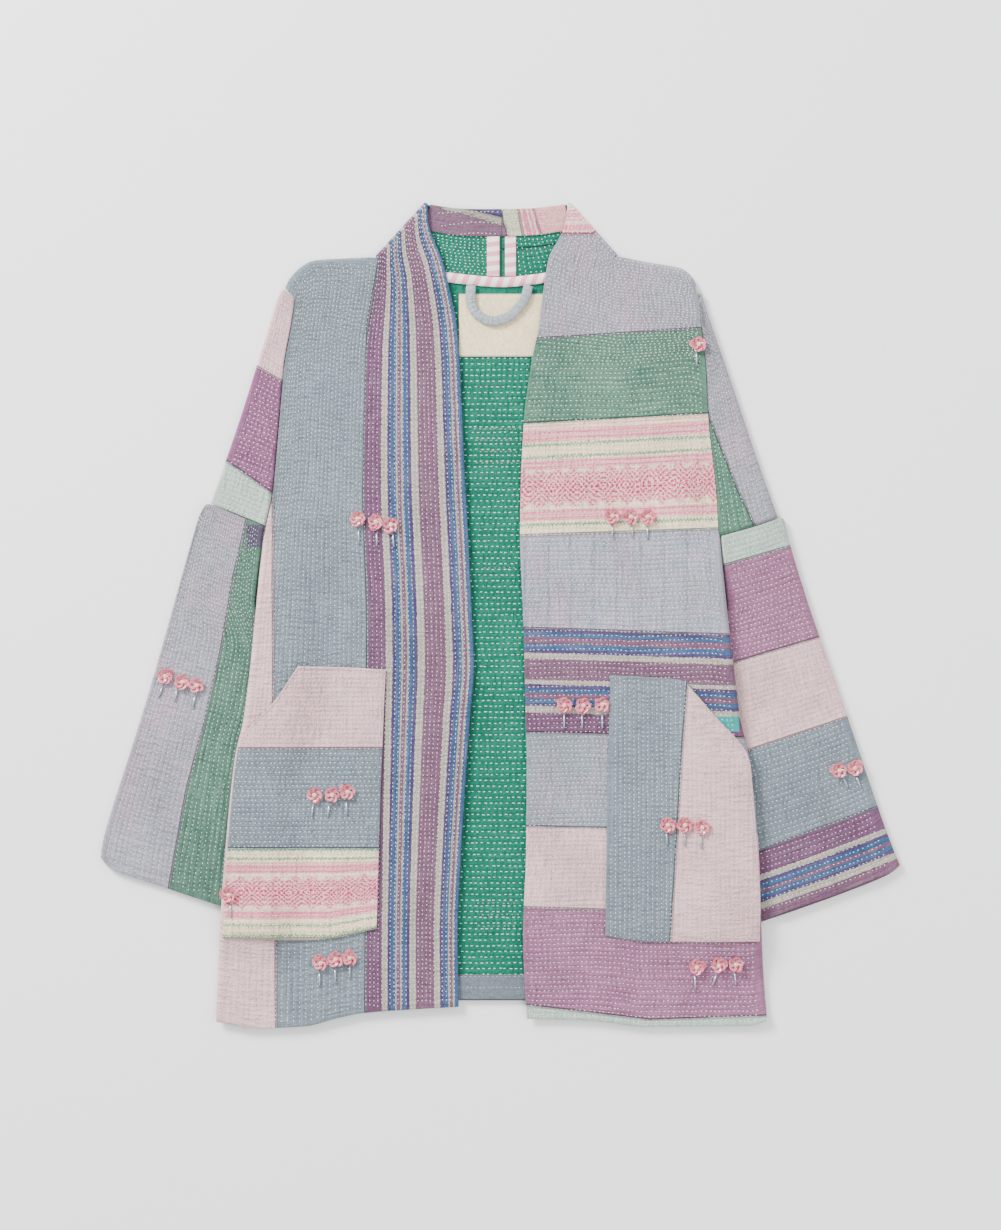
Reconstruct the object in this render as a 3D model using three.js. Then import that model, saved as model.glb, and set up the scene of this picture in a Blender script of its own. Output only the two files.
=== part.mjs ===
import * as THREE from 'three';

// A patchwork jacket of hand-quilted cloth, laid flat on its back with its fronts open.
// Millimetres: +X to the right of the picture, +Y towards the neck, +Z up from the surface.

// Cloth and clearances
const WALL = 2.2;
const SEAM_GAP = 0.8;
const ARMHOLE_IN = { left: 0.1, right: 0.65 };
const LIE_GAP = 0.35;
const LOOSE = 2.0;
const FRONT_MIDDLE = WALL + LOOSE + WALL / 2;

// Rows of quilting
const ROW_STEP = 6;
const ROW_DEPTH = 0.5;
const INSIDE_EVERY = 4;
const SIDEWARD = 1.35;
const CROSS_LENGTH = 700;

// Rounded seam edge of a front, rolled down over the edge of the back
const ROLL = FRONT_MIDDLE - WALL / 2;
const ROLL_TURNS = [90, 60, 30, 0];
const ROLL_RUN_IN = 30;
const BACK_TRIM = 7.2;
const BACK_INSET = 1.7;
const EDGE_TRIM = 0.8;

// Fold of the collar, where each front turns in behind the neck
const FOLD_RADIUS = 2.7;
const FOLD_RISE = FOLD_RADIUS * 2 + WALL / 2 - FRONT_MIDDLE;
const FOLD_EASE = 26;
const FOLD_ANGLES = [36, 72, 108, 144, 180];

// Sleeves, flattened, with their inner edge tucked under the body below the underarm
const SLEEVE_TOP = WALL + LOOSE + WALL;
const SLEEVE_CUFF = 5.6;
const TUCK = 34;
const TUCK_START = 12;
const TUCK_FULL = -50;
const LIFT = 7.2;
const LIFT_START = 84;
const LIFT_FULL = 30;
const LIFT_FLAT = 8;
const LIFT_RAMP = 44;
const LIFT_FOOT_RUN = 46;

// Edges of the body at each height: outer side, line up to the neck point, front opening
const BODY = [
  { y: 412, leftOpen: -75, rightOpen: 70 },
  { y: 390, leftOpen: -68, rightOpen: 60 },
  { y: 356, leftNeck: -120, leftOpen: -58, rightOpen: 48.5, rightNeck: 113 },
  { y: 327, leftSide: -216, rightSide: 196 },
  { y: 315, leftSide: -206, leftOpen: -48, rightOpen: 42, rightSide: 199 },
  { y: 290, leftSide: -209, leftNeck: -132, leftOpen: -43.5, rightOpen: 39, rightNeck: 115, rightSide: 201.5 },
  { y: 250, leftSide: -216, leftOpen: -40, rightOpen: 31, rightSide: 206 },
  { y: 195, leftSide: -221, leftOpen: -37.5, rightOpen: 24, rightSide: 209 },
  { y: 120, leftSide: -228, leftNeck: -136, leftOpen: -34, rightOpen: 20.5, rightNeck: 118, rightSide: 217 },
  { y: 85, leftSide: -235, leftOpen: -32, rightOpen: 20, rightSide: 219 },
  { y: 0, leftSide: -244, leftNeck: -132, leftOpen: -28, rightOpen: 23, rightNeck: 122, rightSide: 227 },
  { y: -50, leftSide: -249, leftOpen: -26, rightOpen: 24.5, rightSide: 233 },
  { y: -105, leftSide: -256, leftOpen: -30, rightOpen: 25.5, rightSide: 240 },
  { y: -140, leftSide: -264, leftOpen: -32.5, rightOpen: 26.5, rightSide: 248 },
  { y: -235, leftSide: -274, leftOpen: -38.5, rightOpen: 26, rightSide: 258 },
  { y: -320, leftSide: -280, leftOpen: -42, rightOpen: 23, rightSide: 261 },
  { y: -409, leftSide: -284, leftNeck: -134, leftOpen: -41, rightOpen: 27, rightNeck: 128, rightSide: 267 },
];

// Hem of each front, from its side seam to its opening
const HEM_LEFT = [
  { x: -284, y: -407 }, { x: -240, y: -413 }, { x: -195, y: -411 },
  { x: -160, y: -402 }, { x: -134, y: -397 }, { x: -41, y: -391 },
];
const HEM_RIGHT = [
  { x: 267, y: -406 }, { x: 250, y: -411 }, { x: 140, y: -411 },
  { x: 120, y: -408 }, { x: 85, y: -404.5 }, { x: 27, y: -403 },
];

// Shoulder edge of each front, from its armhole to its neck point
const SHOULDER_LEFT = [
  { x: -216, y: 327 }, { x: -210, y: 338 }, { x: -197, y: 350 }, { x: -180, y: 355 }, { x: -120, y: 357 },
];
const SHOULDER_RIGHT = [
  { x: 196, y: 331 }, { x: 190, y: 340.5 }, { x: 180, y: 347 }, { x: 160, y: 350.5 }, { x: 113, y: 357 },
];

// Fold of the collar on each side, from the neck point to the tip
const FOLD_LEFT = { neck: { x: -124, y: 359 }, tip: { x: -75, y: 412.5 } };
const FOLD_RIGHT = { neck: { x: 117, y: 360 }, tip: { x: 70, y: 412.5 } };

// Back of the collar, from each fold to the centre back seam
const CENTRE = 2;
const COLLAR_TOP_LEFT = [{ x: -40, y: 406 }, { x: CENTRE, y: 405.5 }];
const COLLAR_TOP_RIGHT = [{ x: 34, y: 406.5 }, { x: CENTRE, y: 405.5 }];
const NECK_SEAM_LEFT = [{ x: -85, y: 346 }, { x: -50, y: 337.5 }, { x: CENTRE, y: 333 }];
const NECK_SEAM_RIGHT = [{ x: 88, y: 347 }, { x: 50, y: 338 }, { x: CENTRE, y: 333 }];
const NECK_TRIM = 3.8;
const FACING_DEPTH = 27;
const FACING_WALL = 1.2;

// Outer edge of each sleeve, and the line of its cuff from outer corner to hidden inner corner
const SLEEVE_EDGE_LEFT = [
  { x: -219, y: 324 }, { x: -222.5, y: 315 }, { x: -235, y: 275 }, { x: -260, y: 195 }, { x: -289, y: 111 },
];
const SLEEVE_EDGE_RIGHT = [
  { x: 204, y: 315 }, { x: 209, y: 296 }, { x: 230, y: 235 }, { x: 257, y: 155 }, { x: 277.5, y: 97 },
];
const LOWER_EDGE_LEFT = [
  { x: -298, y: 100 }, { x: -307, y: 75 }, { x: -353, y: -85 }, { x: -391, y: -205 }, { x: -399, y: -242 },
];
const LOWER_EDGE_RIGHT = [
  { x: 282, y: 93 }, { x: 299, y: 35 }, { x: 341, y: -85 }, { x: 382, y: -205 }, { x: 399.5, y: -250 },
];
const CUFF_LEFT = [
  { x: -399, y: -242 }, { x: -385, y: -255 }, { x: -344, y: -269 }, { x: -287, y: -288 }, { x: -247, y: -301 },
];
const CUFF_RIGHT = [
  { x: 399.5, y: -250 }, { x: 384, y: -261 }, { x: 334, y: -281 }, { x: 262, y: -306 }, { x: 228, y: -316 },
];
const CROSS_SEAM_LEFT = [{ x: -289, y: 111 }, { x: -262, y: 100.5 }, { x: -237, y: 89 }];
const CROSS_SEAM_RIGHT = [{ x: 277.5, y: 97 }, { x: 254, y: 89 }, { x: 221.5, y: 79 }];
const UPPER_END_LEFT = { outer: { x: -219, y: 324 }, inner: { x: -207.6, y: 309.5 } };
const UPPER_END_RIGHT = { outer: { x: 204, y: 315 }, inner: { x: 200.2, y: 311 } };

// Patch pockets: mouth and side from the bottom up, then top edge, front edge and bottom
const POCKET_WALL = 1.8;
const POCKET_MOUTH = 2.2;
const POCKET_CLEARANCE = { left: 0.5, right: 1.3 };
const POCKET_LEFT = {
  side: [{ x: -276, y: -321.5 }, { x: -271.5, y: -235 }, { x: -262, y: -140 }, { x: -253, y: -117 },
    { x: -224, y: -85 }, { x: -201, y: -51 }],
  front: [{ x: -123, y: -313 }, { x: -119, y: -180 }, { x: -114, y: -54.5 }],
  top: [{ x: -201, y: -51 }, { x: -158, y: -52 }, { x: -114, y: -54.5 }],
  bottom: [{ x: -276, y: -321.5 }, { x: -212, y: -324.5 }, { x: -170, y: -323 }, { x: -123, y: -313 }],
};
const POCKET_RIGHT = {
  side: [{ x: 258.5, y: -325 }, { x: 259, y: -285 }, { x: 256.5, y: -237 }, { x: 251.5, y: -172 },
    { x: 245, y: -136 }, { x: 217, y: -104 }, { x: 190, y: -73 }],
  front: [{ x: 105, y: -320 }, { x: 107, y: -190 }, { x: 110, y: -60 }],
  top: [{ x: 190, y: -73 }, { x: 181, y: -65 }, { x: 150, y: -62 }, { x: 110, y: -60 }],
  bottom: [{ x: 258.5, y: -325 }, { x: 170, y: -326 }, { x: 140, y: -325.5 }, { x: 105, y: -320 }],
};

// Back hem turn-up, neck trims, loop and label
const BACK_HEM_Y = -386;
const HEM_FACING_DEPTH = 27;
const HEM_FACING_REACH = 176;
const BINDING_WIDTH = 10;
const BINDING_REACH = 62;
const BINDING_WALL = 1.2;
const LABEL = { left: -41, right: 49, bottom: 258, top: 321, wall: 0.5 };
const LOOP_WIDTH = 10.5;
const LOOP_HEIGHT = 4;
const LOOP_PATH = [
  { x: -29, y: 326.2 }, { x: -29, y: 314 }, { x: -24, y: 301.5 }, { x: -10, y: 293.5 }, { x: 5, y: 296 },
  { x: 17.5, y: 305.5 }, { x: 25, y: 316 }, { x: 29, y: 326.2 },
];

const DEGREES = Math.PI / 180;
const spot = ({ x, y }) => new THREE.Vector2(x, y);

// 0 to 1, soft at both ends
function soft(value) {
  const t = Math.min(Math.max(value, 0), 1);
  return t * t * (3 - 2 * t);
}

// One column of a table, read smoothly and without overshoot along another column
function reader(rows, key, column) {
  const known = rows.filter((row) => column in row).sort((a, b) => a[key] - b[key]);
  const places = known.map((row) => row[key]);
  const values = known.map((row) => row[column]);
  const rise = values.slice(1).map((value, i) => (value - values[i]) / (places[i + 1] - places[i]));
  const slope = values.map((_, i) => {
    if (i === 0) return rise[0];
    if (i === rise.length) return rise[i - 1];
    const [before, after] = [rise[i - 1], rise[i]];
    return before * after <= 0 ? 0 : (2 * before * after) / (before + after);
  });
  return (place) => {
    const last = places.length - 2;
    let i = places.findIndex((_, n) => n <= last && place < places[n + 1]);
    if (i < 0) i = last;
    const run = places[i + 1] - places[i];
    const t = Math.min(Math.max((place - places[i]) / run, 0), 1);
    const [t2, t3] = [t * t, t * t * t];
    return values[i] * (2 * t3 - 3 * t2 + 1) + values[i + 1] * (3 * t2 - 2 * t3)
      + run * (slope[i] * (t3 - 2 * t2 + t) + slope[i + 1] * (t3 - t2));
  };
}

// A smooth line through points, evenly along its length
function through(points) {
  const curve = new THREE.SplineCurve(points.map(spot));
  return (t) => curve.getPointAt(Math.min(Math.max(t, 0), 1));
}

// A straight line between two points
const straight = (from, to) => (t) => spot(from).lerp(spot(to), t);

// A four-sided patch of cloth in plan, blended from its edges
function patch(low, high, near, far) {
  const corners = [low(0), low(1), high(0), high(1)];
  return (u, v) => {
    const point = low(u).multiplyScalar(1 - v).add(high(u).multiplyScalar(v));
    point.add(near(v).multiplyScalar(1 - u)).add(far(v).multiplyScalar(u));
    point.addScaledVector(corners[0], -(1 - u) * (1 - v)).addScaledVector(corners[1], -u * (1 - v));
    return point.addScaledVector(corners[2], -(1 - u) * v).addScaledVector(corners[3], -u * v);
  };
}

// Lift of the body over a sleeve that is tucked under it
const SIDES = {
  left: { sign: -1, foot: -304, side: reader(BODY, 'y', 'leftSide') },
  right: { sign: 1, foot: -319, side: reader(BODY, 'y', 'rightSide') },
};
function lift(x, y) {
  const heights = Object.values(SIDES).map(({ sign, foot, side }) => {
    const inside = sign * (side(y) - x);
    const across = 1 - soft((inside - TUCK - LIFT_FLAT) / LIFT_RAMP);
    const down = soft((LIFT_START - y) / (LIFT_START - LIFT_FULL));
    const up = soft((y - foot + LIFT_FOOT_RUN) / LIFT_FOOT_RUN);
    return LIFT * across * down * up;
  });
  return Math.max(...heights);
}

// Soft unevenness of the cloth that lies on top, never lower than flat
function ease(x, y) {
  const long = 0.5 + 0.5 * Math.sin(y / 47 + x / 90);
  const short = 0.5 + 0.5 * Math.sin(x / 31 - y / 160 + 1);
  return 0.7 * long + 0.5 * short;
}

// A closed wall of cloth over a grid of places. The outside has every row, the inside every few rows.
function wall({
  fine, coarse, outer, inner, exists = () => true, every = INSIDE_EVERY, ringFine = false, ringCoarse = false,
}) {
  const positions = [];
  const indices = [];
  const known = new Map();
  const vertex = (layer, i, j) => {
    const key = `${layer}:${ringFine ? i % fine : i}:${ringCoarse ? j % coarse : j}`;
    if (!known.has(key)) {
      known.set(key, positions.length / 3);
      const point = (layer === 'outer' ? outer : inner)(ringFine ? i % fine : i, ringCoarse ? j % coarse : j);
      positions.push(point.x, point.y, point.z);
    }
    return known.get(key);
  };
  const triangle = (a, b, c) => {
    if (a !== b && b !== c && a !== c) indices.push(a, b, c);
  };
  const here = (i, j) => {
    const a = ringFine ? (i + fine) % fine : i;
    const b = ringCoarse ? (j + coarse) % coarse : j;
    return a >= 0 && a < fine && b >= 0 && b < coarse && exists(a, b);
  };
  for (let j = 0; j < coarse; j += 1) {
    for (let i = 0; i < fine; i += 1) {
      if (!here(i, j)) continue;
      const [a, b] = [vertex('outer', i, j), vertex('outer', i + 1, j)];
      const [c, d] = [vertex('outer', i + 1, j + 1), vertex('outer', i, j + 1)];
      triangle(a, b, c);
      triangle(a, c, d);
    }
    for (let i = 0; i < fine; i += every) {
      if (!here(i, j)) continue;
      const next = i + every;
      const [a, b] = [vertex('inner', i, j), vertex('inner', next, j)];
      const [c, d] = [vertex('inner', next, j + 1), vertex('inner', i, j + 1)];
      triangle(a, c, b);
      triangle(a, d, c);
      for (const [row, missing, turn] of [[j, !here(i, j - 1), 1], [j + 1, !here(i, j + 1), -1]]) {
        if (!missing) continue;
        const [low, high] = [vertex('inner', i, row), vertex('inner', next, row)];
        const half = Math.ceil(every / 2);
        for (let step = 0; step < every; step += 1) {
          const [p, q] = [vertex('outer', i + step, row), vertex('outer', i + step + 1, row)];
          const root = step < half ? low : high;
          if (turn > 0) triangle(q, p, root); else triangle(p, q, root);
        }
        const middle = vertex('outer', i + half, row);
        if (turn > 0) triangle(low, high, middle); else triangle(high, low, middle);
      }
    }
    for (let i = 0; i < fine; i += 1) {
      if (!here(i, j)) continue;
      for (const [column, missing, turn] of [[i, !here(i - 1, j), 1], [i + 1, !here(i + 1, j), -1]]) {
        if (!missing) continue;
        const [p, q] = [vertex('outer', column, j), vertex('outer', column, j + 1)];
        const [r, s] = [vertex('inner', column, j), vertex('inner', column, j + 1)];
        if (turn > 0) {
          triangle(p, q, s);
          triangle(p, s, r);
        } else {
          triangle(q, p, r);
          triangle(q, r, s);
        }
      }
    }
  }
  let volume = 0;
  const corner = [0, 1, 2].map(() => new THREE.Vector3());
  for (let n = 0; n < indices.length; n += 3) {
    corner.forEach((point, m) => point.fromArray(positions, indices[n + m] * 3));
    volume += corner[0].dot(corner[1].clone().cross(corner[2]));
  }
  if (volume < 0) {
    for (let n = 0; n < indices.length; n += 3) indices.splice(n, 3, indices[n], indices[n + 2], indices[n + 1]);
  }
  const geometry = new THREE.BufferGeometry();
  geometry.setAttribute('position', new THREE.Float32BufferAttribute(positions, 3));
  geometry.setIndex(indices);
  geometry.computeVertexNormals();
  return geometry;
}

const raised = (plan, middle, normal, offset) =>
  new THREE.Vector3(plan.x, plan.y, middle).addScaledVector(normal, offset);

// Heights of the cross rows, shared by the back and both fronts: 0 at the hem, 1 at the top edge
const HEM_TOP = -345;
const CHEST = 250;
const HEM_SHARE = 0.08;
const CHEST_SHARE = 0.8;
function heightAt(v, bottom, top) {
  if (v < HEM_SHARE) return THREE.MathUtils.lerp(bottom, HEM_TOP, v / HEM_SHARE);
  if (v < CHEST_SHARE) return THREE.MathUtils.mapLinear(v, HEM_SHARE, CHEST_SHARE, HEM_TOP, CHEST);
  return THREE.MathUtils.mapLinear(v, CHEST_SHARE, 1, CHEST, top);
}
function evenly(count, from = 0, to = 1) {
  return Array.from({ length: count + 1 }, (_, i) => THREE.MathUtils.lerp(from, to, i / count));
}

// One front with its half of the collar. The rows of quilting run up it or across it.
function frontGeometry({ name, sign, hem, shoulder, fold, collarTop, neckSeam, rowsUp }) {
  const side = reader(BODY, 'y', `${name}Side`);
  const neck = reader(BODY, 'y', `${name}Neck`);
  const open = reader(BODY, 'y', `${name}Open`);
  const hemY = reader(hem, 'x', 'y');
  const half = WALL / 2;
  const along = spot(fold.tip).sub(spot(fold.neck)).normalize();
  const outward = new THREE.Vector2(sign * Math.abs(along.y), Math.abs(along.x));
  const inset = FOLD_RADIUS + half;
  const foldNeck = spot(fold.neck).addScaledVector(outward, -inset);
  const foldTip = spot(fold.tip).addScaledVector(outward, -inset);
  const edge = (read, bottom, top, trim = 0) => (v) => {
    const y = heightAt(v, bottom, top);
    return new THREE.Vector2(read(y) - sign * trim, y);
  };
  const sideX = hem[0].x - sign * half;
  const sideLine = edge(side, hemY(sideX) + half, shoulder[0].y - 1, half);
  const neckLine = (v) => {
    const y = heightAt(v, hemY(neck(-409)), foldNeck.y);
    return new THREE.Vector2(v > CHEST_SHARE
      ? THREE.MathUtils.lerp(neck(CHEST), foldNeck.x, soft((y - CHEST) / (foldNeck.y - CHEST))) : neck(y), y);
  };
  const openLine = (v) => {
    const y = heightAt(v, hemY(open(-409)), foldTip.y);
    const tipped = soft((v - 0.93) / 0.07);
    return new THREE.Vector2(THREE.MathUtils.lerp(open(y), foldTip.x, tipped), y);
  };
  const acrossHem = (from, to) => (u) => {
    const x = THREE.MathUtils.lerp(from.x, to.x, u);
    return new THREE.Vector2(x, hemY(x));
  };
  const low = neckLine(0);
  const bodyHem = acrossHem(sideLine(0), low);
  const insideEdge = ({ x, y }) => ({ x: x - sign * EDGE_TRIM, y: y - EDGE_TRIM });
  const shoulderLine = through([...shoulder.slice(0, -1).map(insideEdge), foldNeck]);
  const bodyPatch = patch(bodyHem, shoulderLine, sideLine, neckLine);
  const bandPatch = patch(acrossHem(low, openLine(0)), straight(foldNeck, foldTip), neckLine, openLine);
  const centre = CENTRE + sign * LIE_GAP / 2;
  const topLine = through([foldTip, ...collarTop.slice(0, -1), { x: centre, y: collarTop.at(-1).y }]);
  const seamLine = through([foldNeck, ...neckSeam.slice(0, -1), { x: centre, y: neckSeam.at(-1).y }]
    .map(({ x, y }) => ({ x, y: y + LIE_GAP / 2 })));
  const backPatch = patch((u) => seamLine(u), (u) => topLine(u),
    straight(seamLine(0), foldTip), straight(seamLine(1), topLine(1)));

  const bodyWidth = Math.abs(neckLine(0.5).x - sideLine(0.5).x);
  const bandWidth = Math.abs(openLine(0.5).x - neckLine(0.5).x);
  const multiple = (length, step) => Math.max(1, Math.round(length / step / INSIDE_EVERY)) * INSIDE_EVERY;
  const bodyColumns = rowsUp ? multiple(bodyWidth, ROW_STEP) : 8;
  const bandColumns = rowsUp ? multiple(bandWidth, ROW_STEP) : 4;
  const turns = ROLL_TURNS.map((degrees) => degrees * DEGREES);
  const rollAt = turns.map((turn) => ROLL * (1 - Math.sin(turn)));
  const sideRolls = turns.length - 1;
  const bodyU = (i, v) => {
    const width = sideLine(v).distanceTo(neckLine(v));
    if (i <= sideRolls) return rollAt[i] / width;
    const share = (i - sideRolls) / (bodyColumns - sideRolls);
    return THREE.MathUtils.lerp(ROLL / width, 1, rowsUp ? share : share ** SIDEWARD);
  };
  const frontRows = rowsUp ? 29 : multiple(CROSS_LENGTH, ROW_STEP);
  const topRun = (shoulderLine(0.6).y - CHEST) / (1 - CHEST_SHARE);
  const rowsV = [
    ...evenly(frontRows - sideRolls, 0, 1 - ROLL / topRun),
    ...rollAt.slice(0, -1).reverse().map((distance) => 1 - distance / topRun),
  ];
  const foldRows = FOLD_ANGLES.length;
  const wrapRows = rowsUp ? 6 : 27 - foldRows;
  const totalRows = frontRows + foldRows + wrapRows;
  const rows = rowsUp ? totalRows : Math.ceil(totalRows / INSIDE_EVERY) * INSIDE_EVERY;

  const surface = (column, row, outside) => {
    const onBody = column < bodyColumns;
    const u = onBody ? 0 : (column - bodyColumns) / bandColumns;
    const normal = new THREE.Vector3(0, 0, 1);
    if (row > frontRows) {
      const beyond = row - frontRows;
      const angle = (FOLD_ANGLES[Math.min(beyond, foldRows) - 1]) * DEGREES;
      normal.set(outward.x * Math.sin(angle), outward.y * Math.sin(angle), Math.cos(angle));
      let plan;
      if (beyond <= foldRows) {
        plan = foldNeck.clone().lerp(foldTip, u).addScaledVector(outward, FOLD_RADIUS * Math.sin(angle));
      } else {
        plan = backPatch((beyond - foldRows) / (rows - frontRows - foldRows), u);
      }
      const middle = half + FOLD_RADIUS * (1 + Math.cos(angle));
      return raised(plan, middle, normal, outside ? half : -half);
    }
    const v = rowsV[row];
    const plan = onBody ? bodyPatch(bodyU(column, v), v) : bandPatch(u, v);
    const fromFold = foldNeck.clone().sub(plan).dot(outward);
    const nearNeck = soft(1 - fromFold / FOLD_EASE) * soft((v - 0.88) / 0.1);
    const neckward = onBody ? soft((bodyU(column, v) - 0.6) / 0.4) : 1;
    let middle = FRONT_MIDDLE + lift(plan.x, plan.y) + FOLD_RISE * nearNeck * neckward;
    const calm = soft((1 - v) / 0.08);
    middle += ease(plan.x, plan.y) * calm;
    if (onBody) {
      const sideTurn = column <= sideRolls ? turns[column] : 0;
      const sideShare = soft((LIFT_START - plan.y) / ROLL_RUN_IN) * soft(v / 0.03);
      const fromTop = row - (frontRows - sideRolls);
      const topTurn = fromTop > 0 ? turns[sideRolls - fromTop] : 0;
      const topShare = soft((1 - bodyU(column, v)) * bodyWidth / ROLL_RUN_IN);
      middle -= (ROLL + ease(plan.x, plan.y) * calm) * sideShare * (1 - Math.cos(sideTurn));
      middle -= ROLL * topShare * (1 - Math.cos(topTurn));
      normal.x += sign * Math.tan(Math.min(sideTurn, 1.4) * sideShare);
      normal.y += Math.tan(Math.min(topTurn, 1.4) * topShare);
      normal.normalize();
    }
    const index = rowsUp ? column : row;
    const furrow = outside && index % 2 === 1 && normal.z > 0.8 ? ROW_DEPTH : 0;
    return raised(plan, middle, normal, outside ? half - furrow : -half);
  };
  const columns = bodyColumns + bandColumns;
  const exists = (column, row) => row < frontRows || column >= bodyColumns;
  if (rowsUp) {
    return wall({
      fine: columns, coarse: rows, exists,
      outer: (i, j) => surface(i, j, true), inner: (i, j) => surface(i, j, false),
    });
  }
  return wall({
    fine: rows, coarse: columns, exists: (i, j) => exists(j, i),
    outer: (i, j) => surface(j, i, true), inner: (i, j) => surface(j, i, false),
  });
}

// Back panel, lying on the surface and lifted at the sides over the tucked sleeves
function backGeometry() {
  const sideEdge = ({ sign, side }) => (v) => {
    const y = heightAt(v, BACK_HEM_Y - 16, sign < 0 ? 322 : 325);
    const rolled = soft((LIFT_START + 12 - y) / ROLL_RUN_IN);
    return new THREE.Vector2(side(y) - sign * (BACK_INSET + BACK_TRIM * rolled), y);
  };
  const left = sideEdge(SIDES.left);
  const right = sideEdge(SIDES.right);
  const hem = through([left(0), { x: -120, y: BACK_HEM_Y }, { x: 120, y: BACK_HEM_Y }, right(0)]);
  const below = ({ x, y }) => ({ x, y: y - NECK_TRIM });
  const shoulders = new THREE.SplineCurve([
    left(1), { x: -203, y: 335 }, { x: -190, y: 344 }, { x: -170, y: 349 }, { x: -125, y: 350.5 },
    ...NECK_SEAM_LEFT.slice(0, -1).map(below), below({ x: CENTRE, y: NECK_SEAM_LEFT.at(-1).y }),
    ...NECK_SEAM_RIGHT.slice(0, -1).reverse().map(below),
    { x: 120, y: 350.5 }, { x: 155, y: 346 }, { x: 176, y: 342 }, { x: 187, y: 335 }, right(1),
  ].map(({ x, y }) => new THREE.Vector2(x, y)));
  const plan = patch(hem, (u) => shoulders.getPoint(u), left, right);
  const across = 22;
  const up = 24;
  const place = (i, j, z) => {
    const point = plan(i / across, j / up);
    return new THREE.Vector3(point.x, point.y, lift(point.x, point.y) + z);
  };
  return wall({
    fine: across, coarse: up, every: 1,
    outer: (i, j) => place(i, j, 0), inner: (i, j) => place(i, j, WALL),
  });
}

// A flattened sleeve, folded along its outer edge. A closed one is a tube, folded at both edges.
function sleeveGeometry({ plan, closed, rowsUp, length, width, heights }) {
  const arcs = rowsUp ? 4 : 3;
  const top = rowsUp ? Math.round(width / ROW_STEP / 4) * 4 : 6;
  const bottom = rowsUp ? 4 : 2;
  const columns = [];
  for (let n = 0; n <= top; n += 1) columns.push({ share: n / top, turn: 0 });
  if (closed) {
    for (let n = 1; n < arcs; n += 1) columns.push({ inner: true, turn: (180 * n / arcs) * DEGREES });
  }
  for (let n = 0; n <= bottom; n += 1) columns.push({ share: 1 - n / bottom, turn: Math.PI });
  for (let n = 1; n < arcs; n += 1) columns.push({ outer: true, turn: (180 - 180 * n / arcs) * DEGREES });
  if (!closed) {
    // An open one starts at the far end of its top and runs round the fold to the far end below
    const topRun = columns.slice(0, top + 1).reverse();
    const foldRun = columns.slice(top + 2 + bottom).reverse();
    const bottomRun = columns.slice(top + 1, top + 2 + bottom).reverse();
    columns.splice(0, columns.length, ...topRun, ...foldRun, ...bottomRun);
  }
  const lengthRows = rowsUp ? 12 : Math.round(length / ROW_STEP / INSIDE_EVERY) * INSIDE_EVERY;
  const surface = (c, row, outside) => {
    const v = row / lengthRows;
    const { share, turn, inner, outer } = columns[c];
    const radius = heights(v) / 2;
    const layer = outside ? radius : radius - WALL;
    const across = plan(0, v).distanceTo(plan(1, v));
    const bend = radius - layer * Math.sin(turn);
    let u;
    if (outer) u = bend / across;
    else if (inner) u = 1 - bend / across;
    else u = THREE.MathUtils.lerp(radius / across, closed ? 1 - radius / across : 1, share);
    const place = plan(u, v);
    const index = rowsUp ? c : row;
    const fade = Math.min(1, plan(u, v).distanceTo(plan(u, Math.min(1, v + 1 / lengthRows))) / 3);
    const ridge = outside && turn < 1 && index % 2 === 1 ? ROW_DEPTH * (rowsUp ? 1 : fade) : 0;
    return new THREE.Vector3(place.x, place.y, radius + layer * Math.cos(turn) - ridge);
  };
  const count = closed ? columns.length : columns.length - 1;
  if (rowsUp) {
    return wall({
      fine: count, coarse: lengthRows, ringFine: closed,
      outer: (i, j) => surface(i, j, true), inner: (i, j) => surface(i, j, false),
    });
  }
  return wall({
    fine: lengthRows, coarse: count, ringCoarse: closed,
    outer: (i, j) => surface(j, i, true), inner: (i, j) => surface(j, i, false),
  });
}

// Upper sleeve: cross rows lie parallel to the cross seam, from it up to the shoulder
function upperPlan({ name, sign, edgeLine, crossSeam, end }) {
  const side = reader(BODY, 'y', `${name}Side`);
  const outer = through([...edgeLine].reverse());
  const armhole = (v) => {
    const y = THREE.MathUtils.lerp(crossSeam.at(-1).y, end.inner.y, v);
    return new THREE.Vector2(side(y) - sign * ARMHOLE_IN[name], y);
  };
  const seam = through([crossSeam[0], crossSeam[1], armhole(0)]);
  return patch(seam, straight(end.outer, armhole(1)), outer, armhole);
}

// Lower sleeve: from the cross seam to the cuff, its inner edge tucked under the body
function lowerPlan({ name, sign, lowerEdge, crossSeam, cuff }) {
  const side = reader(BODY, 'y', `${name}Side`);
  const start = crossSeam.at(-1).y - LIE_GAP;
  const inner = (v) => {
    const y = THREE.MathUtils.lerp(start, cuff.at(-1).y, v);
    const tucked = TUCK * soft((TUCK_START - y) / (TUCK_START - TUCK_FULL));
    return new THREE.Vector2(side(y) + sign * (SEAM_GAP - tucked), y);
  };
  const lowered = crossSeam.slice(0, -1).map(({ x, y }) => ({ x: x + sign * 2, y: y - LIE_GAP }));
  const seam = through([lowerEdge[0], ...lowered, inner(0)]);
  const cuffLine = through([...cuff.slice(0, -1), inner(1)]);
  return patch(seam, cuffLine, through(lowerEdge), inner);
}

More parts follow.
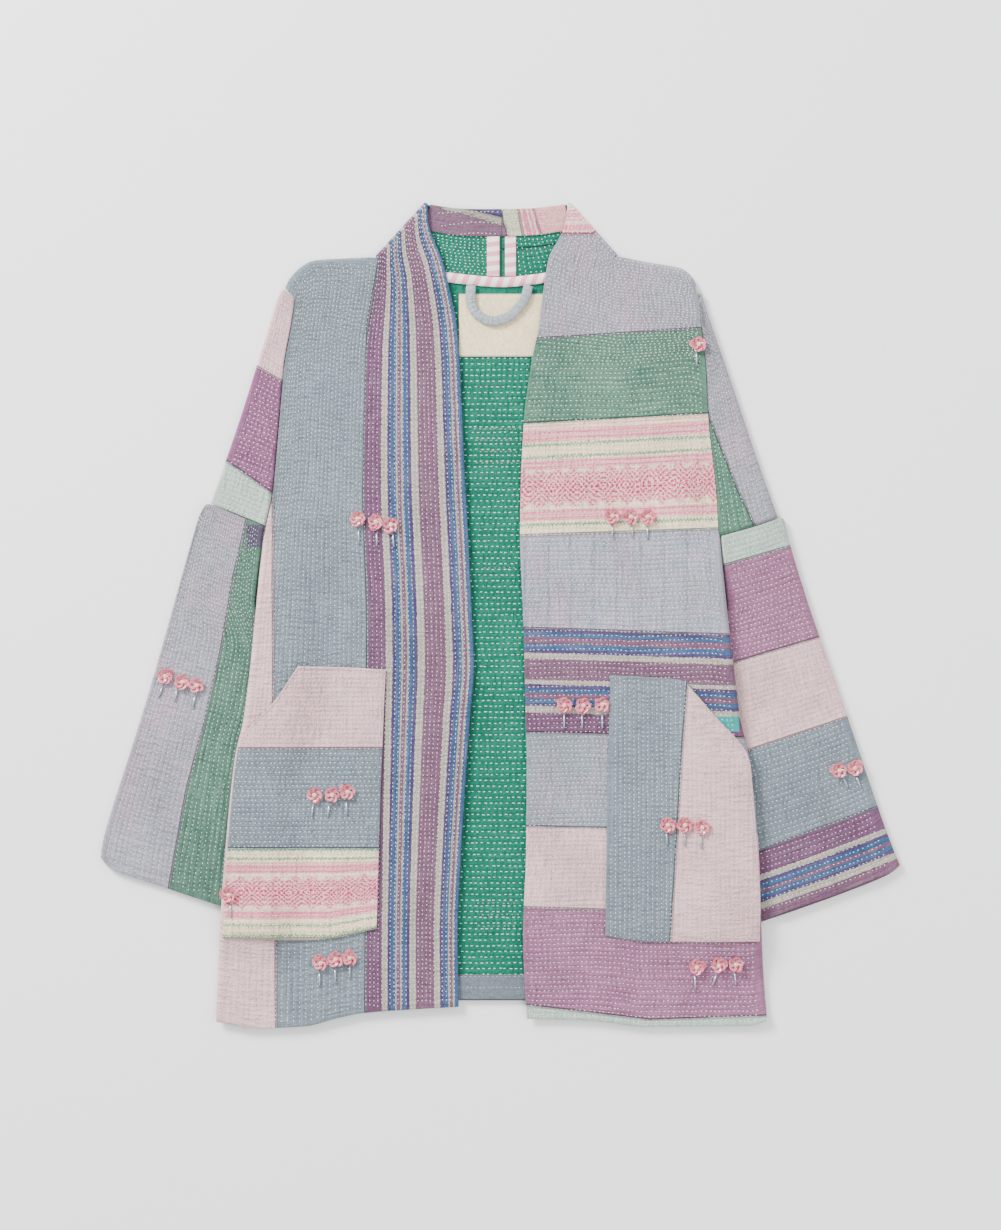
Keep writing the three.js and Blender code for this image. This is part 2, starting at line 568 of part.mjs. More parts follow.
// Patch pocket, made from the front's own height moved out
function pocketGeometry(outline, rowsUp, clearance) {
  const side = through(outline.side);
  const plan = patch(through(outline.bottom), through(outline.top), side, through(outline.front));
  const across = rowsUp ? 32 : 7;
  const up = rowsUp ? 8 : 44;
  const base = FRONT_MIDDLE + WALL / 2 + LIE_GAP;
  const surface = (c, r, outside) => {
    const [u, v] = [c / across, r / up];
    const { x, y } = plan(u, v);
    const mouth = POCKET_MOUTH * soft((v - 0.72) / 0.28) * (1 - u);
    const furrow = outside && (rowsUp ? c : r) % 2 === 1 ? ROW_DEPTH : 0;
    return new THREE.Vector3(x, y, base + lift(x, y) + ease(x, y) + clearance + mouth + (outside ? POCKET_WALL - furrow : 0));
  };
  if (rowsUp) {
    return wall({ fine: across, coarse: up, outer: (i, j) => surface(i, j, true), inner: (i, j) => surface(i, j, false) });
  }
  return wall({ fine: up, coarse: across, outer: (i, j) => surface(j, i, true), inner: (i, j) => surface(j, i, false) });
}

// A thin strip that lies on the back or the collar, between two lines
function stripGeometry(lower, upper, wallThickness, steps, crown = 0) {
  const across = 4;
  const plan = (u, v) => lower(u).lerp(upper(u), v);
  const place = (i, j, high) => {
    const { x, y } = plan(i / steps, j / across);
    const z = WALL + LIE_GAP + (high ? wallThickness + crown * Math.sin(Math.PI * j / across) : 0);
    return new THREE.Vector3(x, y, z);
  };
  return wall({ fine: steps, coarse: across, outer: (i, j) => place(i, j, true), inner: (i, j) => place(i, j, false) });
}

// Cloth loop: a soft flat tube along its path
function loopGeometry() {
  const path = new THREE.CatmullRomCurve3(LOOP_PATH.map(({ x, y }) => new THREE.Vector3(x, y, 0)));
  const around = 10;
  const steps = 22;
  const centre = WALL + LIE_GAP + LABEL.wall + LIE_GAP + LOOP_HEIGHT / 2;
  const positions = [];
  const indices = [];
  for (let n = 0; n <= steps; n += 1) {
    const point = path.getPointAt(n / steps);
    const tangent = path.getTangentAt(n / steps);
    for (let m = 0; m < around; m += 1) {
      const angle = (2 * Math.PI * m) / around;
      const wide = (LOOP_WIDTH / 2) * Math.cos(angle);
      const high = (LOOP_HEIGHT / 2) * Math.sign(Math.sin(angle)) * Math.abs(Math.sin(angle)) ** 0.8;
      positions.push(point.x - tangent.y * wide, point.y + tangent.x * wide, centre + high);
    }
  }
  for (let n = 0; n < steps; n += 1) {
    for (let m = 0; m < around; m += 1) {
      const [a, b] = [n * around + m, n * around + ((m + 1) % around)];
      indices.push(a, a + around, b, b, a + around, b + around);
    }
  }
  for (let m = 1; m < around - 1; m += 1) {
    const last = steps * around;
    indices.push(0, m, m + 1, last, last + m + 1, last + m);
  }
  for (let n = 0; n < indices.length; n += 3) indices.splice(n, 3, indices[n], indices[n + 2], indices[n + 1]);
  const geometry = new THREE.BufferGeometry();
  geometry.setAttribute('position', new THREE.Float32BufferAttribute(positions, 3));
  geometry.setIndex(indices);
  geometry.computeVertexNormals();
  return geometry;
}

const COLOURS = {
  blueGrey: 0x9aa7b0, lavender: 0xb3b0bc, blush: 0xd3c3c6, green: 0x3a9a7a, stripe: 0x94748a,
  binding: 0xf0a3b0, loop: 0xb4bdc3, label: 0xefe3d3,
};
const jacket = new THREE.Group();
function add(name, geometry, colour) {
  const material = new THREE.MeshStandardMaterial({ color: COLOURS[colour], roughness: 0.9, metalness: 0 });
  const mesh = new THREE.Mesh(geometry, material);
  mesh.name = name;
  jacket.add(mesh);
}

const LEFT = {
  name: 'left', sign: -1, hem: HEM_LEFT, shoulder: SHOULDER_LEFT, fold: FOLD_LEFT, collarTop: COLLAR_TOP_LEFT,
  neckSeam: NECK_SEAM_LEFT, rowsUp: true, edgeLine: SLEEVE_EDGE_LEFT, lowerEdge: LOWER_EDGE_LEFT,
  cuff: CUFF_LEFT, crossSeam: CROSS_SEAM_LEFT, end: UPPER_END_LEFT,
};
const RIGHT = {
  name: 'right', sign: 1, hem: HEM_RIGHT, shoulder: SHOULDER_RIGHT, fold: FOLD_RIGHT, collarTop: COLLAR_TOP_RIGHT,
  neckSeam: NECK_SEAM_RIGHT, rowsUp: false, edgeLine: SLEEVE_EDGE_RIGHT, lowerEdge: LOWER_EDGE_RIGHT,
  cuff: CUFF_RIGHT, crossSeam: CROSS_SEAM_RIGHT, end: UPPER_END_RIGHT,
};

add('back', backGeometry(), 'green');
for (const half of [LEFT, RIGHT]) {
  const { name, sign, collarTop, fold, rowsUp } = half;
  add(`front_${name}`, frontGeometry(half), rowsUp ? 'stripe' : 'lavender');
  add(`sleeve_upper_${name}`, sleeveGeometry({
    plan: upperPlan(half), closed: false, rowsUp: !rowsUp, length: 225, width: 62, heights: () => SLEEVE_TOP,
  }), rowsUp ? 'stripe' : 'lavender');
  add(`sleeve_lower_${name}`, sleeveGeometry({
    plan: lowerPlan(half), closed: true, rowsUp, length: 340, width: 130,
    heights: (v) => THREE.MathUtils.lerp(SLEEVE_TOP, SLEEVE_CUFF, soft(v * 3)),
  }), rowsUp ? 'lavender' : 'blueGrey');
  const near = { x: fold.tip.x - sign * 9, y: fold.tip.y - 2 };
  const far = { x: CENTRE + sign * LIE_GAP / 2, y: collarTop.at(-1).y };
  const top = through([near, collarTop[0], far]);
  const bottom = through([{ x: near.x + sign * 10, y: near.y - FACING_DEPTH + 2 }, { x: collarTop[0].x, y: collarTop[0].y - FACING_DEPTH },
    { x: far.x, y: far.y - FACING_DEPTH }]);
  add(`collar_facing_${name}`, stripGeometry(bottom, top, FACING_WALL, 12), rowsUp ? 'stripe' : 'blush');
  const inner = CENTRE + (sign < 0 ? -2.5 : 3);
  const outer = CENTRE + (sign < 0 ? -15 : 14);
  const stripTop = far.y - FACING_DEPTH - LIE_GAP;
  const stripLow = NECK_SEAM_LEFT.at(-1).y + BINDING_WIDTH / 2 + 0.6;
  add(`seam_binding_${name}`, stripGeometry(
    straight({ x: outer, y: stripLow }, { x: outer, y: stripTop }),
    straight({ x: inner, y: stripLow }, { x: inner, y: stripTop }), BINDING_WALL, 8,
  ), 'binding');
}
add('pocket_left', pocketGeometry(POCKET_LEFT, false, POCKET_CLEARANCE.left), 'blueGrey');
add('pocket_right', pocketGeometry(POCKET_RIGHT, true, POCKET_CLEARANCE.right), 'blueGrey');
const bindingLine = through([{ x: -BINDING_REACH, y: 340 }, { x: -50, y: 337 }, { x: CENTRE, y: 332.5 },
  { x: 50, y: 337.5 }, { x: BINDING_REACH - 4, y: 340 }]);
const shifted = (line, dy) => (t) => line(t).add(new THREE.Vector2(0, dy));
add('neck_binding', stripGeometry(shifted(bindingLine, -BINDING_WIDTH / 2), shifted(bindingLine, BINDING_WIDTH / 2),
  BINDING_WALL, 20, 0.3), 'binding');
add('back_hem_facing', stripGeometry(
  straight({ x: -HEM_FACING_REACH, y: BACK_HEM_Y + 1 }, { x: HEM_FACING_REACH, y: BACK_HEM_Y + 1 }),
  straight({ x: -HEM_FACING_REACH, y: BACK_HEM_Y + HEM_FACING_DEPTH }, { x: HEM_FACING_REACH, y: BACK_HEM_Y + HEM_FACING_DEPTH }),
  BINDING_WALL, 16,
), 'blueGrey');
add('neck_label', stripGeometry(
  straight({ x: LABEL.left, y: LABEL.bottom }, { x: LABEL.right, y: LABEL.bottom }),
  straight({ x: LABEL.left, y: LABEL.top }, { x: LABEL.right, y: LABEL.top }), LABEL.wall, 8,
), 'label');
add('hanger_loop', loopGeometry(), 'loop');

export default jacket;
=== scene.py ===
"""A hand-quilted patchwork jacket, laid flat with its fronts open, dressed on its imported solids.

Plan sizes and heights are millimetres in the row frame: +X to the right, +Y to the neck, +Z up.
Meshes are made in metres.
"""

import logging
import math
from dataclasses import dataclass, field
from enum import Enum
from typing import Callable, Sequence

import bpy
import numpy as np
from mathutils.kdtree import KDTree
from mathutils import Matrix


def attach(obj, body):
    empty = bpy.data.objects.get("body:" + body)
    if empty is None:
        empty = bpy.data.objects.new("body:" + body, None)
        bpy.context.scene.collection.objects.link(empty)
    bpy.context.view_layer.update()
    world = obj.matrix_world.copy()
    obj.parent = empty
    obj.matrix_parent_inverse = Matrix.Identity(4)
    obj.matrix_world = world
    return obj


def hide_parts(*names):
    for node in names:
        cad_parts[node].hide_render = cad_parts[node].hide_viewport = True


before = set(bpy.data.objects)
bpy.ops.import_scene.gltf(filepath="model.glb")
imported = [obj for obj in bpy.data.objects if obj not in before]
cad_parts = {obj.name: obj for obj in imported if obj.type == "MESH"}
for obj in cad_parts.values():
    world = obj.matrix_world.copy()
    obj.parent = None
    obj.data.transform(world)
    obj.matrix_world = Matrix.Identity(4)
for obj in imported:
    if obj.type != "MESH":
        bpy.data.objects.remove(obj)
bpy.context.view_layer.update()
LOG = logging.getLogger("jacket")

Array = np.ndarray
Place = tuple[float, float]
Places = tuple[Place, ...]
PlanLine = Callable[[Array], Array]
Colour = tuple[float, float, float]
Socket = bpy.types.NodeSocket
Material = bpy.types.Material
Object = bpy.types.Object

MM = 0.001
# The row frame's origin in the picture, in pixels across and down.
PICTURE_MIDDLE = (500, 615)
# Thickness of the quilted cloth, the facings and the label, and the gaps between layers.
WALL = 2.2
TRIM, LABEL = 1.2, 0.5
LOOSE = 2.0
LIE_GAP = 0.35
FRONT_MIDDLE = WALL + LOOSE + WALL / 2
# Grid steps across one row of quilting, and round half of a turned edge in half-thicknesses.
FINE_PER_ROW = 4
EDGE_STEPS = np.array([0.0, 0.12, 0.4, 0.75])
# Heights that split a front into hem, body and chest, with their shares of its rows.
HEM_TOP, CHEST = -345, 250
HEM_SHARE, CHEST_SHARE = 0.08, 0.8


def srgb(code: str) -> Colour:
    """Turns a colour written as six hex digits into linear light.

    Args:
        code: The colour as seen on a screen, such as "9AA7B0".

    Returns:
        Red, green and blue from 0 to 1.
    """
    values = [int(code[n : n + 2], 16) / 255 for n in (0, 2, 4)]
    return tuple(v / 12.92 if v <= 0.04045 else ((v + 0.055) / 1.055) ** 2.4 for v in values)


def soft(value: Array | float) -> Array:
    """Returns 0 to 1 with a soft start and end, for a value that runs past 0 and 1."""
    t = np.clip(value, 0, 1)
    return t * t * (3 - 2 * t)


def value_noise(x: Array, y: Array, seed: int) -> Array:
    """Smooth random heights on a grid of unit cells.

    Args:
        x: Places across the cells.
        y: Places along the cells.
        seed: Number that picks the pattern.

    Returns:
        Heights from -1 to 1.
    """
    table = np.random.default_rng(seed).uniform(-1, 1, (64, 64))
    cell_x, cell_y = np.floor(x).astype(int), np.floor(y).astype(int)
    part_x, part_y = soft(x - cell_x), soft(y - cell_y)
    corner = [[table[(cell_x + a) % 64, (cell_y + b) % 64] for b in (0, 1)] for a in (0, 1)]
    near = corner[0][0] * (1 - part_y) + corner[0][1] * part_y
    far = corner[1][0] * (1 - part_y) + corner[1][1] * part_y
    return near * (1 - part_x) + far * part_x


class Reader:
    """A measured column read smoothly, without overshoot, along another column."""

    def __init__(self, places: Sequence[float], values: Sequence[float]) -> None:
        """Keeps the rows in order of place and works out a slope for each.

        Args:
            places: Where each value was measured.
            values: The measured values.
        """
        order = np.argsort(places)
        self.places = np.array(places, float)[order]
        self.values = np.array(values, float)[order]
        rise = np.diff(self.values) / np.diff(self.places)
        before, after = rise[:-1], rise[1:]
        total = np.where(before + after == 0, 1, before + after)
        inner = np.where(before * after <= 0, 0, 2 * before * after / total)
        self.slopes = np.concatenate([rise[:1], inner, rise[-1:]])

    def __call__(self, place: Array | float) -> Array:
        """Returns the value at each place, held level past both ends."""
        place = np.asarray(place, float)
        i = np.clip(np.searchsorted(self.places, place, side="right") - 1, 0, len(self.places) - 2)
        run = self.places[i + 1] - self.places[i]
        t = np.clip((place - self.places[i]) / run, 0, 1)
        t2, t3 = t * t, t * t * t
        ends = self.values[i] * (2 * t3 - 3 * t2 + 1) + self.values[i + 1] * (3 * t2 - 2 * t3)
        return ends + run * (self.slopes[i] * (t3 - 2 * t2 + t) + self.slopes[i + 1] * (t3 - t2))


def distances(points: Array) -> Array:
    """Returns the distance of each point from the first, along the line through them."""
    return np.concatenate([[0], np.cumsum(np.linalg.norm(np.diff(points, axis=0), axis=1))])


def height_at(v: Array, bottom: float, top: float) -> Array:
    """Returns the height at a share v up a panel, so that the panels' rows lie level between."""
    return np.interp(v, [0, HEM_SHARE, CHEST_SHARE, 1], [bottom, HEM_TOP, CHEST, top])


def through(points: Sequence[Sequence[float]]) -> PlanLine:
    """A smooth plan line through points, read evenly along its length.

    Args:
        points: Two or more places, each an X and a Y.

    Returns:
        A function from 0..1 along the line to places of shape (n, 2).
    """
    knots = np.array(points, float)
    last = len(knots) - 1
    samples = []
    for n in range(last):
        p0, p1, p2, p3 = (knots[np.clip(n + k, 0, last)] for k in (-1, 0, 1, 2))
        t = np.linspace(0, 1, 60, endpoint=n == last - 1)[:, None]
        out, into = (p2 - p0) / 2, (p3 - p1) / 2
        curve = (2 * p1 - 2 * p2 + out + into) * t**3
        samples.append(curve + (-3 * p1 + 3 * p2 - 2 * out - into) * t**2 + out * t + p1)
    dense = np.concatenate(samples)
    length = distances(dense)
    length /= length[-1]

    def line(t: Array) -> Array:
        """Returns the places at the shares t of the line's length."""
        return np.stack([np.interp(t, length, dense[:, k]) for k in (0, 1)], axis=-1)

    return line


def straight(start: Array, end: Array) -> PlanLine:
    """A straight plan line from one place to another, as a function from 0..1."""
    return lambda t: start + (end - start) * np.asarray(t)[..., None]


def coons(low: PlanLine, high: PlanLine, near: PlanLine, far: PlanLine) -> Callable[[Array, Array], Array]:
    """Fills a four-sided piece of cloth in plan from its edges.

    Args:
        low: Edge where v is 0.
        high: Edge where v is 1.
        near: Edge where u is 0.
        far: Edge where u is 1.

    Returns:
        A function from u and v to places of shape (n, 2).
    """

    def plan(u: Array, v: Array) -> Array:
        """Returns the places at the shares u across and v up the piece."""
        a, b = u[..., None], v[..., None]
        zero, one = np.zeros_like(u), np.ones_like(u)
        sides = low(u) * (1 - b) + high(u) * b + near(v) * (1 - a) + far(v) * a
        bottom = low(zero) * (1 - a) + low(one) * a
        top = high(zero) * (1 - a) + high(one) * a
        return sides - bottom * (1 - b) - top * b

    return plan


class Side(Enum):
    """Which half of the jacket a piece belongs to, as seen in the picture."""

    LEFT = "left"
    RIGHT = "right"

    @property
    def sign(self) -> int:
        """Returns -1 at the picture's left and 1 at its right."""
        return -1 if self is Side.LEFT else 1


@dataclass(frozen=True)
class Outline:
    """Measured edges of one half of the jacket, each row a height or a place in plan."""

    side_seam: Places
    neck_line: Places
    opening: Places
    hem: Places
    shoulder: Places
    fold_neck: Place
    fold_tip: Place
    collar_top: Places
    neck_seam: Places
    sleeve_edge: Places
    lower_edge: Places
    cuff: Places
    cross_seam: Places
    upper_end_outer: Place
    upper_end_inner: Place
    armhole_in: float
    pocket_side: Places
    pocket_front: Places
    pocket_top: Places
    pocket_bottom: Places
    pocket_clearance: float
    sleeve_foot: float


# Side seam, neck line and opening: height, then X. The others: X, then Y.
LEFT_OUTLINE = Outline(
    side_seam=((327, -216), (315, -206), (290, -209), (250, -216), (195, -221), (120, -228), (85, -235),
               (0, -244), (-50, -249), (-105, -256), (-140, -264), (-235, -274), (-320, -280), (-409, -284)),
    neck_line=((356, -120), (290, -132), (120, -136), (0, -132), (-409, -134)),
    opening=((412, -75), (390, -68), (356, -58), (315, -48), (290, -43.5), (250, -40), (195, -37.5),
             (120, -34), (85, -32), (0, -28), (-50, -26), (-105, -30), (-140, -32.5), (-235, -38.5),
             (-320, -42), (-409, -41)),
    hem=((-284, -407), (-240, -413), (-195, -411), (-160, -402), (-134, -397), (-41, -391)),
    shoulder=((-216, 327), (-210, 338), (-197, 350), (-180, 355)),
    fold_neck=(-124, 359),
    fold_tip=(-75, 412.5),
    collar_top=((-40, 406), (2, 405.5)),
    neck_seam=((-85, 346), (-50, 337.5), (2, 333)),
    sleeve_edge=((-217, 326), (-222.5, 315), (-235, 275), (-260, 195), (-289, 111)),
    lower_edge=((-298, 100), (-307, 75), (-353, -85), (-391, -205), (-399, -242)),
    cuff=((-399, -242), (-385, -255), (-344, -269), (-287, -288), (-247, -301)),
    cross_seam=((-289, 111), (-262, 100.5), (-237, 89)),
    upper_end_outer=(-217, 326),
    upper_end_inner=(-206, 316.8),
    armhole_in=0.1,
    pocket_side=((-276, -321.5), (-271.5, -235), (-262, -140), (-253, -117), (-224, -85), (-201, -51)),
    pocket_front=((-123, -313), (-119, -180), (-114, -54.5)),
    pocket_top=((-201, -51), (-158, -52), (-114, -54.5)),
    pocket_bottom=((-276, -321.5), (-212, -324.5), (-170, -323), (-123, -313)),
    pocket_clearance=0.5,
    sleeve_foot=-304,
)
RIGHT_OUTLINE = Outline(
    side_seam=((327, 196), (315, 199), (290, 201.5), (250, 206), (195, 209), (120, 217), (85, 219),
               (0, 227), (-50, 233), (-105, 240), (-140, 248), (-235, 258), (-320, 261), (-409, 267)),
    neck_line=((356, 113), (290, 115), (120, 118), (0, 122), (-409, 128)),
    opening=((412, 70), (390, 60), (356, 48.5), (315, 42), (290, 39), (250, 31), (195, 24), (120, 20.5),
             (85, 20), (0, 23), (-50, 24.5), (-105, 25.5), (-140, 26.5), (-235, 26), (-320, 23), (-409, 27)),
    hem=((267, -406), (250, -411), (140, -411), (120, -408), (85, -404.5), (27, -403)),
    shoulder=((196, 331), (190, 340.5), (180, 347), (160, 350.5)),
    fold_neck=(117, 360),
    fold_tip=(70, 412.5),
    collar_top=((34, 406.5), (2, 405.5)),
    neck_seam=((88, 347), (50, 338), (2, 333)),
    sleeve_edge=((201, 321.5), (209, 296), (230, 235), (257, 155), (277.5, 97)),
    lower_edge=((282, 93), (299, 35), (341, -85), (382, -205), (399.5, -250)),
    cuff=((399.5, -250), (384, -261), (334, -281), (262, -306), (228, -316)),
    cross_seam=((277.5, 97), (254, 89), (221.5, 79)),
    upper_end_outer=(201, 321.5),
    upper_end_inner=(199.8, 316.2),
    armhole_in=0.65,
    pocket_side=((258.5, -325), (259, -285), (256.5, -237), (251.5, -172), (245, -136), (217, -104),
                 (190, -73)),
    pocket_front=((105, -320), (107, -190), (110, -60)),
    pocket_top=((190, -73), (181, -65), (150, -62), (110, -60)),
    pocket_bottom=((258.5, -325), (170, -326), (140, -325.5), (105, -320)),
    pocket_clearance=1.3,
    sleeve_foot=-319,
)
OUTLINES = {Side.LEFT: LEFT_OUTLINE, Side.RIGHT: RIGHT_OUTLINE}
CENTRE = 2.0


def column(rows: Sequence[Sequence[float]]) -> Reader:
    """Returns a reader of the second value of each row along the first."""
    return Reader([row[0] for row in rows], [row[1] for row in rows])


@dataclass(frozen=True)
class Crease:
    """A soft trough or ridge that was laid into the cloth by hand."""

    start: Place
    end: Place
    width: float
    height: float

    def rise(self, x: Array, y: Array) -> Array:
        """Returns how far the crease lifts each place, less than 0 in a trough."""
        a, b = np.array(self.start), np.array(self.end)
        line = b - a
        length = np.linalg.norm(line)
        along = ((x - a[0]) * line[0] + (y - a[1]) * line[1]) / length**2
        bow = 0.06 * length * np.sin(np.pi * np.clip(along, 0, 1))
        off = ((x - a[0]) * line[1] - (y - a[1]) * line[0]) / length - bow
        ends = soft(along / 0.3 + 0.35) * soft((1 - along) / 0.3 + 0.35)
        return self.height * ends * np.exp(-((off / self.width) ** 2))


@dataclass
class Lie:
    """How the cloth on top lies: lifted over the tucked sleeves, uneven, and creased."""

    tuck: float = 34
    lift: float = 7.2
    lift_start: float = 84
    lift_full: float = 30
    lift_flat: float = 8
    lift_ramp: float = 44
    foot_run: float = 46
    creases: tuple[Crease, ...] = (
        Crease((-190, 60), (-165, -40), 9, -1.1),
        Crease((-160, 150), (-120, 20), 11, -0.9),
        Crease((-215, 180), (-175, 90), 10, 0.9),
        Crease((-262, -330), (-250, -405), 8, 1.1),
        Crease((-205, -335), (-198, -408), 9, -1.0),
        Crease((-170, -330), (-165, -400), 8, 0.8),
        Crease((-90, -150), (-84, -390), 10, 0.8),
        Crease((-62, -210), (-58, -392), 8, -0.9),
        Crease((-60, 60), (-34, -20), 9, -0.9),
        Crease((52, 150), (150, 110), 10, -0.9),
        Crease((60, -30), (180, -45), 8, 0.8),
        Crease((205, 180), (180, 60), 10, 0.9),
        Crease((150, 60), (215, 0), 9, -0.9),
        Crease((48, -250), (56, -400), 10, 0.9),
        Crease((84, -330), (90, -404), 8, -0.9),
        Crease((150, -332), (156, -408), 9, 0.9),
        Crease((215, -332), (220, -408), 9, -0.9),
        Crease((-240, -180), (-160, -215), 10, 0.6),
        Crease((130, -120), (150, -260), 10, 0.6),
        Crease((215, -160), (205, -290), 11, -0.6),
    )
    sides: dict[Side, Reader] = field(
        default_factory=lambda: {side: column(o.side_seam) for side, o in OUTLINES.items()}
    )

    def lifted(self, x: Array, y: Array) -> Array:
        """Returns how far the body is lifted by the sleeve tucked under it."""
        heights = []
        for side, outline in OUTLINES.items():
            inside = side.sign * (self.sides[side](y) - x)
            across = 1 - soft((inside - self.tuck - self.lift_flat) / self.lift_ramp)
            down = soft((self.lift_start - y) / (self.lift_start - self.lift_full))
            up = soft((y - outline.sleeve_foot + self.foot_run) / self.foot_run)
            heights.append(self.lift * across * down * up)
        return np.maximum(*heights)

    def eased(self, x: Array, y: Array) -> Array:
        """Returns the broad unevenness of the cloth on top, never lower than flat."""
        long = 0.5 + 0.5 * np.sin(y / 47 + x / 90)
        short = 0.5 + 0.5 * np.sin(x / 31 - y / 160 + 1)
        return 0.7 * long + 0.5 * short

    def creased(self, x: Array, y: Array) -> Array:
        """Returns the hand-laid creases and the small rumples between them."""
        total = sum(crease.rise(x, y) for crease in self.creases)
        return total + 0.45 * value_noise(x / 26, y / 34, 5) + 0.22 * value_noise(x / 11, y / 13, 6)

    def raised(self, x: Array, y: Array) -> Array:
        """Returns the lift and unevenness that everything on the fronts shares."""
        return self.lifted(x, y) + self.eased(x, y)


LIE = Lie()


@dataclass(frozen=True)
class Quilting:
    """Rows of running stitches that hold the layers together.

    Args:
        pitch: Distance between rows.
        stitch: Length of a stitch on top.
        gap: Distance from one stitch to the next.
        depth: How deep a row sinks between the puffed cloth.
        thickness: Thickness of the thread.
    """

    pitch: float = 4.7
    stitch: float = 2.0
    gap: float = 2.9
    depth: float = 0.6
    thickness: float = 0.9

    def sink(self, row: Array, along: Array, seed: int) -> Array:
        """How far the cloth is drawn in at each place.

        Args:
            row: Place across the rows, whole at each row of stitches.
            along: Distance along the rows.
            seed: Number that picks the puckers.

        Returns:
            Depths, less where the cloth puffs up between the rows.
        """
        valley = (0.5 + 0.5 * np.cos(2 * np.pi * row)) ** 1.6
        pucker = value_noise(along / (self.stitch + self.gap) * 1.2, row * 1.1, seed)
        return self.depth * valley * (1 + 0.35 * pucker) - 0.24 * pucker * (1 - valley)


def new_object(name: str, points: Array, faces: list, solid: bool = True) -> Object:
    """Makes a smooth mesh object in metres, with its faces outwards.

    Args:
        name: The object's name.
        points: Vertices in millimetres, of shape (n, 3).
        faces: Lists of vertex numbers.
        solid: Whether the mesh is one closed wall whose faces may need turning.

    Returns:
        The new object, in the scene's collection.
    """
    mesh = bpy.data.meshes.new(name)
    mesh.from_pydata((points * MM).tolist(), [], faces)
    if solid:
        mesh.calc_loop_triangles()
        corners = np.zeros(len(mesh.loop_triangles) * 3, np.int32)
        mesh.loop_triangles.foreach_get("vertices", corners)
        a, b, c = (points[corners.reshape(-1, 3)[:, k]] for k in range(3))
        if np.sum(a * np.cross(b, c)) < 0:
            mesh.flip_normals()
    mesh.shade_smooth()
    obj = bpy.data.objects.new(name, mesh)
    bpy.context.scene.collection.objects.link(obj)
    return obj


def mark(obj: Object, label: str, values: Array) -> None:
    """Writes one number, or three, at each point of a mesh, for materials to read."""
    kind, part = ("FLOAT_VECTOR", "vector") if values.ndim == 2 else ("FLOAT", "value")
    attribute = obj.data.attributes.new(label, kind, "POINT")
    attribute.data.foreach_set(part, values.astype(np.float32).ravel())


def unit(vectors: Array) -> Array:
    """Returns the vectors at length 1."""
    return vectors / np.maximum(np.linalg.norm(vectors, axis=-1, keepdims=True), 1e-9)


